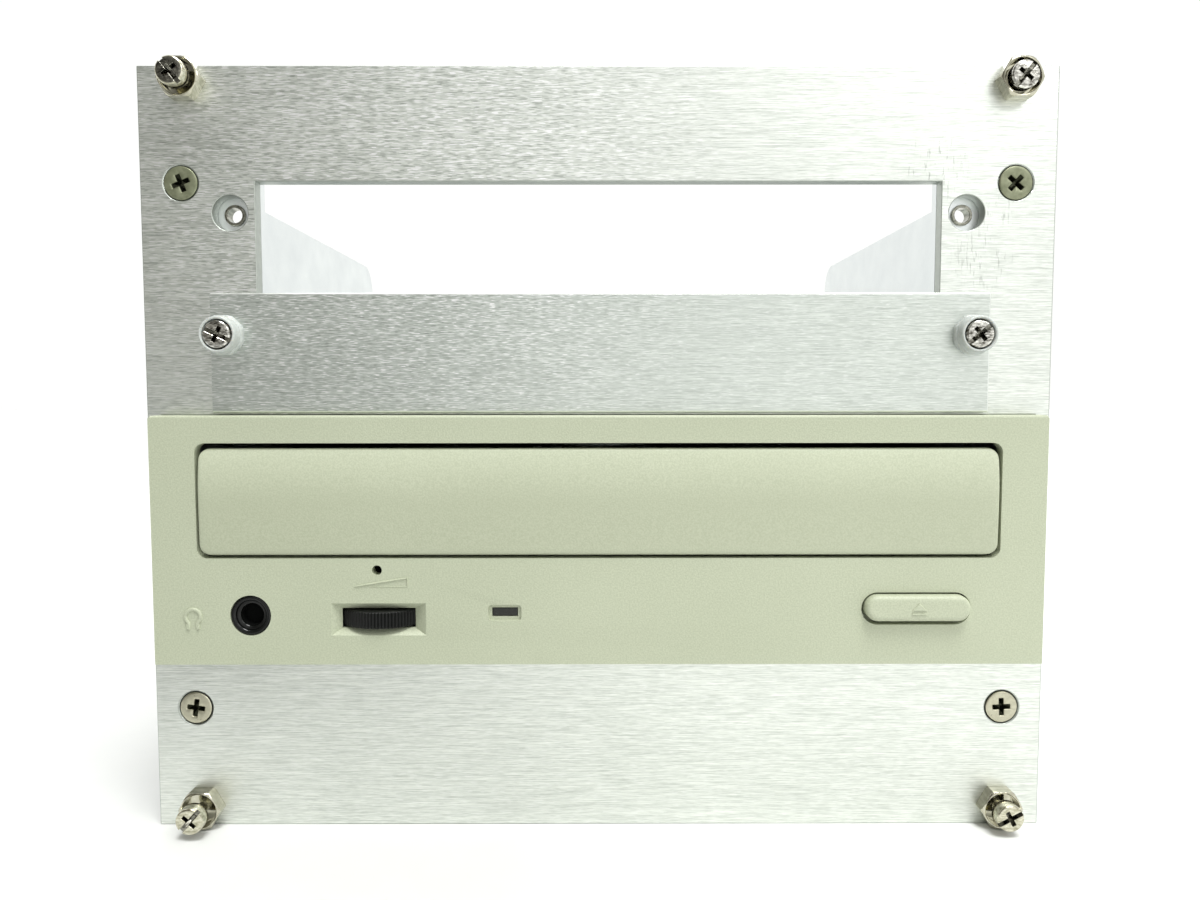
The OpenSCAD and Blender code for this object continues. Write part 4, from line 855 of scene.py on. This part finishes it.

# %% [markdown]
# ## Tray door
#
# The door fills its opening but for a dark line along its top. A thin flange behind its face
# closes the gap at the sides and below, so the inside of the drive isn't seen there. Above its
# middle the face bends back clearly, and below it hardly at all, which is why its top catches the
# light and its lower part stays even. Its material adds painted light: it is lighter than the
# bezel's, with a painted shade over its lower part.

# %% Tray door
FLANGE, FLANGE_THICK = 0.42, 0.8
DOOR_CORNER, DOOR_RIM = 1.8, 0.45
SIDE_SPARE = 0.12                  # the door stands this much wider than its solid at each side
TOP_SPARE = 0.1                    # its top edge lies lower by twice this, under a dark line
CROWN_RISE = 1.0                   # how far the foremost line lies above the middle
BEND_ABOVE, BEND_BELOW = 0.0150, 0.0023
door_low, door_high, door_mid = low("tray_door"), high("tray_door"), middle("tray_door")


def door_surface(x, z):
    """The door bends back above its middle, and hardly at all below."""
    up = z - door_mid.z - CROWN_RISE
    return door_low.y + (BEND_ABOVE if up > 0 else BEND_BELOW) * up ** 2


door = bmesh.new()
door_at = (0, door_mid.z - TOP_SPARE)
half_wide = door_high.x + SIDE_SPARE
half_high = (door_high.z - door_low.z) / 2 - TOP_SPARE
flange_outline = rounded_outline((0, door_at[1] - FLANGE / 2 - TOP_SPARE), half_wide + FLANGE,
                                 half_high + FLANGE / 2 - TOP_SPARE, DOOR_CORNER + 0.1)
flange_front = door_high.y - FLANGE_THICK
flange = [[(x, depth, z) for x, z in flange_outline] for depth in (door_high.y, flange_front)]
loft(door, flange + moulded_face(door_at, half_wide, half_high, DOOR_CORNER, flange_front,
                                 door_surface, DOOR_RIM, (1.2, 2.4, 3.8, 5.2, 6.6, 7.8, 8.4)))
finished(door, "tray_door", lit_door_abs, sharp=50)
print("door", round(2 * half_wide, 1), "x", round(2 * half_high, 1), "mm")

# %% [markdown]
# ## Raised signs
#
# Signs on a moulding aren't printed, they stand out of it, because the mould was engraved. A flat
# sign has drafted sides, so that it leaves the mould: it is the sign's outline three times over,
# the last one a little smaller. Plain blocks are made of a cube between two corners.

# %% Boxes and flat signs


def box_between(bm, first, second, material=0):
    """A box from its two corners."""
    centre = (Vector(first) + Vector(second)) / 2
    made = bmesh.ops.create_cube(bm, size=1, matrix=Matrix.Translation(centre)
                                 @ Matrix.Diagonal((*(Vector(second) - Vector(first)), 1)))
    for face in {f for v in made["verts"] for f in v.link_faces}:
        face.material_index = material


def raised_mark(bm, points, face, height, draft=0.22):
    """A flat sign that stands out of a face by its height, its sides drafted."""
    centre = [sum(p[i] for p in points) / len(points) for i in (0, 1)]
    rows = []
    for depth, shrink in ((face + 0.05, 0.0), (face - 0.02, 0.0), (face - height, draft)):
        row = []
        for x, z in points:
            away = math.hypot(x - centre[0], z - centre[1])
            keep = 1 - shrink / max(away, shrink * 2)
            row.append((centre[0] + (x - centre[0]) * keep, depth,
                        centre[1] + (z - centre[1]) * keep))
        rows.append(row)
    loft(bm, rows)


print("boxes and flat signs can be made")

# %% [markdown]
# A line is a low rounded bead, as the engraver's ball cutter leaves it. An arch of points is
# carried along the line and turned to lie across it. A curve with a round bevel would do the same,
# but as a full tube, with half of it buried in the moulding.

# %% Beads
SUNK = 0.04        # how deep a bead's foot reaches into the moulding
BEAD_STEPS = 12
END_SHARE = 0.6    # a bead is narrower at its two ends


def bead(bm, path, half_wide, height, face):
    """A low rounded band along a path on a face."""
    rows = []
    for i, (x, z) in enumerate(path):
        ahead, behind = path[min(i + 1, len(path) - 1)], path[max(i - 1, 0)]
        along = Vector((ahead[0] - behind[0], ahead[1] - behind[1])).normalized()
        wide = half_wide * (END_SHARE if i in (0, len(path) - 1) else 1.0)
        row = []
        for k in range(BEAD_STEPS + 1):
            angle = math.pi * k / BEAD_STEPS
            off = wide * math.cos(angle)
            row.append((x - along.y * off,
                        face + SUNK - (height + SUNK) * math.sin(angle) ** 0.7,
                        z + along.x * off))
        rows.append(row)
    loft(bm, rows)


print("a bead has", BEAD_STEPS + 1, "points across")

# %% [markdown]
# ## Eject button
#
# The button is a long pad with fully round ends and a soft rim. Behind the bezel it has a wide
# plate that keeps it from falling out, and a stem that reaches the switch. Its sign is a triangle
# over a bar.

# %% Eject button
BUTTON_HEIGHT = 39.05
BUTTON_HALF_WIDE, BUTTON_HALF_HIGH, BUTTON_RIM = 8.7, 2.15, 0.75
PLATE_HALF_WIDE, PLATE_HALF_HIGH = 9.6, 3.1
STEM_HALF_WIDE, STEM_HALF_HIGH = 2.5, 1.2
button = bmesh.new()
stem = middle("eject_button")
button_front = low("eject_button").y + 0.12
loft(button, moulded_face((stem.x, BUTTON_HEIGHT), BUTTON_HALF_WIDE, BUTTON_HALF_HIGH,
                          BUTTON_HALF_HIGH - 0.01, PANEL_FRONT + 0.6, lambda x, z: button_front,
                          BUTTON_RIM, (1.0, 1.4, 1.9)))
box_between(button,
            (stem.x - PLATE_HALF_WIDE, BEZEL_FRONT + 2.5, stem.z - PLATE_HALF_HIGH),
            (stem.x + PLATE_HALF_WIDE, BEZEL_FRONT + 3.3, stem.z + PLATE_HALF_HIGH))
box_between(button,
            (stem.x - STEM_HALF_WIDE, PANEL_FRONT, stem.z - STEM_HALF_HIGH),
            (stem.x + STEM_HALF_WIDE, high("eject_button").y, stem.z + STEM_HALF_HIGH))
raised_mark(button, [(stem.x - 1.25, BUTTON_HEIGHT - 0.3), (stem.x + 1.25, BUTTON_HEIGHT - 0.3),
                     (stem.x, BUTTON_HEIGHT + 1.05)], button_front, 0.2)
bead(button, [(stem.x + x, BUTTON_HEIGHT - 0.82) for x in (-1.2, 1.2)], 0.2, 0.2, button_front)
finished(button, "eject_button", bezel_abs, sharp=40)
print("button and its eject sign")

# %% [markdown]
# ## Volume wheel
#
# The volume wheel turns about an upright axis, and only a narrow strip of its knurled rim stands
# in the pocket. The knurl is fine: one rib every half millimetre. Its rings lie flat, one above
# the other, and each follows a wave round the rim; the grooves fade out towards the upper and
# lower edge, as a rounded rim makes them.

# %% Volume wheel
RIBS = 88
RIB_POINTS = 6
HUB = 3.0          # radius of the hole for the control's spindle


def wheel_ring(centre, level, radius, groove):
    """A flat ring at a level, its rim cut by grooves of the given depth."""
    points = []
    for i in range(RIBS * RIB_POINTS):
        angle = 2 * math.pi * i / (RIBS * RIB_POINTS)
        r = radius - groove * (0.5 - 0.5 * math.cos(RIBS * angle)) ** 1.5
        points.append((centre[0] + r * math.cos(angle), centre[1] + r * math.sin(angle), level))
    return points


wheel = bmesh.new()
wheel_low, wheel_high, wheel_mid = (f("volume_wheel") for f in (low, high, middle))
wheel_axis, wheel_radius = (wheel_mid.x, wheel_mid.y), (wheel_high.x - wheel_low.x) / 2
lower_half = ((0, HUB, 0), (0, wheel_radius - 0.5, 0), (0.06, wheel_radius - 0.24, 0),
              (0.2, wheel_radius - 0.06, 0.14), (0.3, wheel_radius, 0.24))
rows = [(wheel_low.z + up, radius, groove) for up, radius, groove in lower_half]
rows += [(wheel_high.z - up, radius, groove) for up, radius, groove in reversed(lower_half)]
loft(wheel, [wheel_ring(wheel_axis, *row) for row in rows])
finished(wheel, "volume_wheel", ribbed_abs, sharp=60)
print("volume wheel with", RIBS, "ribs")

# %% [markdown]
# ## Headphone jack
#
# The jack's black ring is turned from glossy plastic. It has a hollow face with a thin bright lip
# and a deep bore, in which hardly any light comes back, so the bore has a matt black of its own.

# %% Headphone jack
JACK_HEIGHT = 37.7
JACK_RADIUS, JACK_BORE = 3.3, 1.8
BORE_DEEP = 12.4   # how far the bore goes on behind the panel's front
jack = bmesh.new()
jack_low, jack_high = low("headphone_jack"), high("headphone_jack")
jack_axis = (middle("headphone_jack").x, JACK_HEIGHT)
shape = [(JACK_RADIUS, PANEL_FRONT - 1.4)]
shape += [(radius, jack_low.y + depth) for radius, depth in
          ((JACK_RADIUS, 0.35), (3.27, 0.12), (3.15, 0.02), (2.95, 0), (2.72, 0.05), (2.55, 0.2),
           (2.48, 0.42), (2.42, 0.5), (2.1, 0.55), (1.92, 0.66), (1.82, 0.95), (JACK_BORE, 1.5))]
shape += [(JACK_BORE, PANEL_FRONT + BORE_DEEP)]
loft(jack, [ring(jack_axis, depth, radius) for radius, depth in shape], 0, 2, 1)
box_between(jack, (jack_low.x, PANEL_FRONT - 1.5, jack_low.z), jack_high, 1)
finished(jack, "headphone_jack", gloss_black, matt_black, sharp=40)
print("jack ring", round(2 * JACK_RADIUS, 1), "mm")

# %% [markdown]
# ## Activity lamp
#
# The lamp's window is a small rectangle of dark acrylic that stands a little out of the bezel. It
# is made like the button, with a flat face and a fine rounded rim.

# %% Activity lamp's window
lens = bmesh.new()
lens_low, lens_high, lens_mid = (f("lamp_lens") for f in (low, high, middle))
loft(lens, moulded_face((lens_mid.x, lens_mid.z), (lens_high.x - lens_low.x) / 2,
                        (lens_high.z - lens_low.z) / 2, 0.12, lens_high.y,
                        lambda x, z: lens_low.y, 0.08, (0.3, 0.6)))
finished(lens, "lamp_lens", lamp_window, sharp=40)
print("lamp window", [round(v, 1) for v in lens_high - lens_low], "mm")

# %% [markdown]
# ## Bezel
#
# The bezel keeps its CAD shape, with its edges rounded as a moulded part's are. Two signs stand
# out of its face by a fifth of a millimetre: a pair of headphones by the jack, and a wedge that
# grows to the right over the volume wheel. Along its top runs a soft rim, which stands a little
# higher than the rest and narrows the dark line under the cover plate.

# %% Bezel and its top rim
RIM_TALL, RIM_OVER = 0.8, 0.4
soft_copy("bezel", 0.22, bezel_abs, 3, 25)


def add_to_bezel(bm, name):
    """Scales a mesh from millimetres to metres and sets it on the bezel's body."""
    bmesh.ops.scale(bm, vec=(MM, MM, MM), verts=bm.verts)
    return place_piece(mesh_object(bm, name, sharp=40), "bezel", bezel_abs)


rim = bmesh.new()
bezel_low, bezel_high = low("bezel"), high("bezel")
box_between(rim, (bezel_low.x, BEZEL_FRONT + 0.01, bezel_high.z - RIM_TALL),
            (bezel_high.x, PANEL_FRONT - 0.1, bezel_high.z + RIM_OVER))
bmesh.ops.bevel(rim, geom=list(rim.edges), offset=0.42, segments=4, profile=0.5, affect="EDGES",
                material=-1)
add_to_bezel(rim, "bezel_top_rim")
print("bezel with its top rim")

# %% [markdown]
# The headphones are one bead that runs up one leg, round the arch and down the other leg,
# with a second, shorter bead on the outer side of each leg for the ear pads. The wedge is three
# beads: the slope, the short side at its loud end, and the fine line under it.

# %% Signs of the bezel
SIGN_X, SIGN_Z = -67.47, 37.52     # middle of the headphones' arch
ARCH = 1.24
WEDGE_QUIET, WEDGE_LOUD = -40.5, -31.8
WEDGE_LOW, WEDGE_TOP = 42.6, 44.0
signs = bmesh.new()
arch = [(ARCH * math.cos(a), ARCH * math.sin(a))
        for a in (math.radians(-52 + 284 * i / 30) for i in range(31))]
legs = [(0.72, -2.1), (0.70, -1.5), *arch, (-0.70, -1.5), (-0.72, -2.1)]
pads = [[(side * 0.95, -2.0), (side * 0.98, -1.2)] for side in (-1, 1)]
for path, half_wide, height in ((legs, 0.32, 0.24), (pads[0], 0.28, 0.26), (pads[1], 0.28, 0.26)):
    bead(signs, [(SIGN_X + x, SIGN_Z + z) for x, z in path], half_wide, height, BEZEL_FRONT)
for path, half_wide, height in (
        ([(WEDGE_QUIET, WEDGE_LOW), (-36.1, 43.32), (WEDGE_LOUD, WEDGE_TOP)], 0.15, 0.2),
        ([(WEDGE_LOUD, WEDGE_TOP), (WEDGE_LOUD, WEDGE_LOW)], 0.14, 0.18),
        ([(-38.0, WEDGE_LOW - 0.05), (WEDGE_LOUD, WEDGE_LOW - 0.05)], 0.10, 0.08)):
    bead(signs, path, half_wide, height, BEZEL_FRONT)
add_to_bezel(signs, "bezel_signs")
print("headphones and volume wedge")

# %% [markdown]
# ## Corner collars
#
# Each corner has a hexagonal collar of nickel-plated brass with a wide mouth. The screw's head
# floats in it. Inside, the turned cone mirrors the dark room. It is a loft as well: a round tenon
# in the panel, the hexagon with its corners turned off more and more towards the mouth, the round
# lip, the cone and its floor.

# %% Corner collars
FLATS = 3.2        # half a collar's width across its flats
collars = bmesh.new()
mouth = low("panel_collars").y
for node in [n for n in nodes if n.startswith("panel_screw_")]:
    centre = (middle(node).x, middle(node).z)
    shape = [(1.12, PANEL_BACK), (TENON, PANEL_BACK), (TENON, PANEL_FRONT)]
    shape += [(many_sided(FLATS, 6, corner), depth) for corner, depth in
              ((3.62, PANEL_FRONT - 0.02), (3.66, PANEL_FRONT - 0.1), (3.66, mouth + 0.45),
               (3.5, mouth + 0.28), (3.38, mouth + 0.17), (3.28, mouth + 0.09))]
    shape += [(radius, mouth + depth) for radius, depth in
              ((3.16, 0.03), (3.06, 0), (2.97, 0.02), (2.92, 0.1), (2.89, 0.4))]
    shape += [(radius, PANEL_FRONT - depth) for radius, depth in
              ((2.76, 1.4), (2.68, 0.8), (2.64, 0.58), (1.8, BORE_FLOOR), (1.14, BORE_FLOOR))]
    loft(collars, [ring(centre, depth, radius) for radius, depth in shape])
finished(collars, "panel_collars", collar_nickel, sharp=26)
print("4 collars")

# %% [markdown]
# ## Sheet, screws and other parts that only need their edges broken
#
# Each row names a node, how far its edges are broken in millimetres, and its finish. Folded and
# sawn metal has a break of a tenth of a millimetre or so, moulded plastic a little more. The
# panel and the plate come last, because their cut edges have a finish of their own.

# %% Parts finished from their CAD shapes
EDGE_LIST = [
    ("press_nuts", 0.12, press_nut_dark_reflection),
    ("bay_bracket_left", 0.22, zinc_sheet), ("bay_bracket_right", 0.22, zinc_sheet),
    ("drive_rail_left", 0.12, rail_zinc), ("drive_rail_right", 0.12, rail_zinc),
    ("bracket_screws", 0.08, screw_steel), ("drive_side_screws", 0.08, screw_steel),
    ("disc_tray", 0.2, tray_abs), ("eject_switch", 0.1, black_abs), ("volume_pot", 0.1, black_abs),
    ("activity_lamp", 0.1, acetal), ("front_board", 0.05, board_green),
    ("case_tray", 0.15, case_steel), ("case_cover", 0.15, case_steel),
    ("case_screws", 0.05, screw_steel), ("board_screws", 0.06, screw_steel),
    ("loader_frame", 0.15, dark_frame), ("loading_motor", 0.15, motor_steel),
    ("motor_pulley", 0.08, acetal), ("loading_belt", 0.1, rubber), ("belt_pulley", 0.05, acetal),
    ("drive_gear", 0.05, acetal), ("gear_clips", 0.06, acetal), ("lift_frame", 0.15, dark_frame),
    ("rubber_mounts", 0.15, rubber), ("pickup_plate", 0.1, zinc_sheet),
    ("mount_screws", 0.06, screw_steel), ("spindle_motor", 0.15, motor_steel),
    ("turntable", 0.12, black_abs), ("guide_rods", 0.08, ground_rod),
    ("pickup_sled", 0.15, dark_frame), ("objective_lens", 0.08, coated_lens),
    ("sled_motor", 0.12, motor_steel), ("lead_screw", 0.06, acetal),
    ("clamp_bridge", 0.1, zinc_sheet), ("clamp_puck", 0.15, acetal),
    ("main_board", 0.05, board_green), ("board_chips", 0.08, black_abs),
    ("data_connector", 0.05, black_abs), ("power_connector", 0.08, acetal),
    ("audio_connector", 0.06, acetal), ("jumper_block", 0.05, black_abs)]
for node, width, material in EDGE_LIST:
    soft_copy(node, width, material)
soft_copy("front_panel", 0.18, panel_aluminium, cut=sawn_aluminium)
soft_copy("cover_plate", 0.26, plate_aluminium, cut=plate_edge_highlight)
print("finished", len(EDGE_LIST) + 2, "pieces")

# %% [markdown]
# ## Label on the lid
#
# The lid of the drive carries a paper label with a bar code and a few empty fields, as such lids
# do, but nothing is written on it. Its bars come from a fixed random series. Paper and ink are
# thin boxes, the ink a little higher, because two faces in one plane would show through each
# other in patches.

# %% Label on the lid
PAPER_HALF_WIDE, PAPER_LONG, PAPER_FROM_BACK = 32.0, 40.0, 12.0
MARGIN = 5.0       # free paper at the left and the right
FROM_FOOT = 4.0    # free paper below bars and fields
TALL = 9.0         # height of bars and fields
LINE = 0.25        # the thinnest printed line
FIRST_LINE, LINE_GAP = 6.0, 4.2
CODE_END = -1.0    # where the bar code stops
label = bmesh.new()
lid_top, lid_back = high("case_cover").z, high("case_cover").y
paper_high = (PAPER_HALF_WIDE, lid_back - PAPER_FROM_BACK)
paper_low = (-PAPER_HALF_WIDE, paper_high[1] - PAPER_LONG)
box_between(label, (*paper_low, lid_top - 0.02), (*paper_high, lid_top + 0.07))
foot, head = paper_low[1] + FROM_FOOT, paper_low[1] + FROM_FOOT + TALL
chance = random.Random(7)
ink = []
x = paper_low[0] + MARGIN
while x < CODE_END:
    wide = chance.choice((LINE, LINE, 2 * LINE, 3 * LINE))
    ink.append((x, foot, x + wide, head))
    x += wide + chance.choice((0.3, 0.3, 0.6))
for row in range(4):
    y = paper_high[1] - FIRST_LINE - LINE_GAP * row
    ink.append((paper_low[0] + MARGIN, y, paper_high[0] - MARGIN, y + LINE))
for left, right in ((4.0, 14.0), (17.0, 27.0)):
    ink += [(left, foot, right, foot + LINE), (left, head - LINE, right, head),
            (left, foot, left + LINE, head), (right - LINE, foot, right, head)]
for x0, y0, x1, y1 in ink:
    box_between(label, (x0, y0, lid_top + 0.05), (x1, y1, lid_top + 0.08), 1)
bmesh.ops.scale(label, vec=(MM, MM, MM), verts=label.verts)
place_piece(mesh_object(label, "lid_label", smooth=False), "case_cover", label_paper, printing_ink)
print("label with", len(ink), "printed marks")

# %% [markdown]
# ## Floor
#
# The module stands on a plain pale floor of matt paper. The floor also shows in the brushed
# panel, because metal mirrors what stands around it: the lower left of the panel is darker than
# the lower right. Someone stands in front on that side, so the near part of the paper lies in a
# soft shade. The shade is mixed into the paper's colour, from left to right and from near to far.

# %% Floor
SHADE_LEVEL = 0.36
SHADE_ACROSS = (-130 * MM, 20 * MM)     # from full shade to none, left to right
SHADE_ALONG = (-150 * MM, -25 * MM)     # the same from near to far
floor_mesh = bmesh.new()
bmesh.ops.create_grid(floor_mesh, x_segments=2, y_segments=2, size=2.5,
                      matrix=Matrix.Translation((0, 1.2, -0.01 * MM)))
floor = mesh_object(floor_mesh, "floor")
# uncoated paper: matt and pale, with a faint cloud of fibres
paper, tree, shader, place = start_material("matt_white_paper", Roughness=0.9)
fibres = add(tree, "MapRange", [noise_at(tree, place, 6.0), 0.0, 1.0, 0.97, 1.0])
spot = add(tree, "SeparateXYZ", [place]).node.outputs
across = add(tree, "MapRange", [spot["X"], *SHADE_ACROSS, SHADE_LEVEL, 1.0])
along = add(tree, "MapRange", [spot["Y"], *SHADE_ALONG, 0.0, 0.85])
shade = add(tree, "Math", [across, along], operation="MAXIMUM")
shade = add(tree, "Math", [shade, fibres], operation="MULTIPLY")
feed(shader, Base_Color=add(tree, "Mix", {0: shade, 6: "#000000", 7: "#DFE0DE"}, 2,
                            data_type="RGBA"))
floor.data.materials.append(paper)
print("floor placed")

# %% [markdown]
# ## Lamps
#
# Most of the light is daylight that falls steeply from above, a little from the front and the
# right. So the main lamp is a sun of a large angle, whose shadows have soft edges. A small window
# box high on the right puts the highlights on rims and screw heads, and a broad weak lamp above
# the back keeps the bay from going dark.

# %% Lamps


def place_lamp(name, data, watts):
    """Links a lamp of the given strength into the scene."""
    data.energy = watts
    lamp = bpy.data.objects.new(name, data)
    bpy.context.scene.collection.objects.link(lamp)
    return lamp


def soft_light(name, place_mm, aim_mm, size_mm, watts):
    """A square area lamp at a place, turned to a point."""
    data = bpy.data.lights.new(name, "AREA")
    data.size = size_mm * MM
    light = place_lamp(name, data, watts)
    light.location = Vector(place_mm) * MM
    aim = Vector(aim_mm) * MM - light.location
    light.rotation_euler = aim.to_track_quat("-Z", "Y").to_euler()
    return light


sun_data = bpy.data.lights.new("skylight", "SUN")
sun_data.angle = math.radians(24)
skylight = place_lamp("skylight", sun_data, 2.6)
skylight.rotation_euler = Vector((-0.12, 0.32, -0.92)).to_track_quat("-Z", "Y").to_euler()
soft_light("window_box", (280, -300, 380), (0, 0, 70), 180, 0.36)
soft_light("top_back", (0, 350, 520), (0, 80, 0), 500, 0.9)

# %% [markdown]
# ## The room
#
# The room around the module is white. Metal shows it: the panel's left side mirrors the dimmer
# side of the room in front of it, and the right side mirrors a bright window wall. So the room's
# light is a soft ramp from left to right in front of the object, and even white behind it. A
# picture of a room would do the same, but a ramp can be set to the metal it has to light. The
# light comes from a direction, whose X runs from left to right, Y from front to back and Z up.

# %% Room
BEHIND = 1.05      # strength of the even white behind the object
room = bpy.data.worlds.new("room")
room.use_nodes = True
sky = room.node_tree
way = add(sky, "TexCoord", output="Generated")
part = add(sky, "SeparateXYZ", [way]).node.outputs
side = add(sky, "MapRange", [part["X"], -0.50, 0.15, 0.34, 1.25], interpolation_type="SMOOTHSTEP")
# the corner high on the left is the dimmest
left = add(sky, "MapRange", [part["X"], -0.45, -0.12, 1.0, 0.0])
high_up = add(sky, "MapRange", [part["Z"], 0.06, 0.34, 0.0, 1.0])
corner = add(sky, "Math", [left, high_up], operation="MULTIPLY")
corner = add(sky, "MapRange", [corner, 0.0, 1.0, 1.0, 0.55])
# past the window, far on the right, the wall is a little dimmer again
far_right = add(sky, "MapRange", [part["X"], 0.22, 0.52, 1.0, 0.90])
# furniture: soft patches some ten degrees wide, which only polished metal shows one by one
patches = add(sky, "TexNoise", {"Vector": way, "Scale": 4.5, "Detail": 1.0}, "Fac")
patches = add(sky, "MapRange", [patches, 0.36, 0.64, 0.68, 1.32])
for dimmer in (corner, far_right, patches):
    side = add(sky, "Math", [side, dimmer], operation="MULTIPLY")
front = add(sky, "MapRange", [part["Y"], -0.35, 0.05, 1.0, 0.0], interpolation_type="SMOOTHSTEP")
level = add(sky, "Mix", {0: front, 2: BEHIND, 3: side}, data_type="FLOAT")
# the dim left side is warmer, as a wall is that only gets light from other walls
warm = add(sky, "MapRange", [part["X"], -0.5, -0.1, 0.7, 0.0])
warm = add(sky, "Math", [warm, front], operation="MULTIPLY")
glow = add(sky, "Mix", {0: warm, 6: "#FCFDFB", 7: "#FFFBEC"}, 2, data_type="RGBA")
feed(sky.nodes["Background"], Color=glow, Strength=level)
bpy.context.scene.world = room
bpy.context.scene.view_settings.view_transform = "Standard"
print("room with", len(sky.nodes), "nodes")
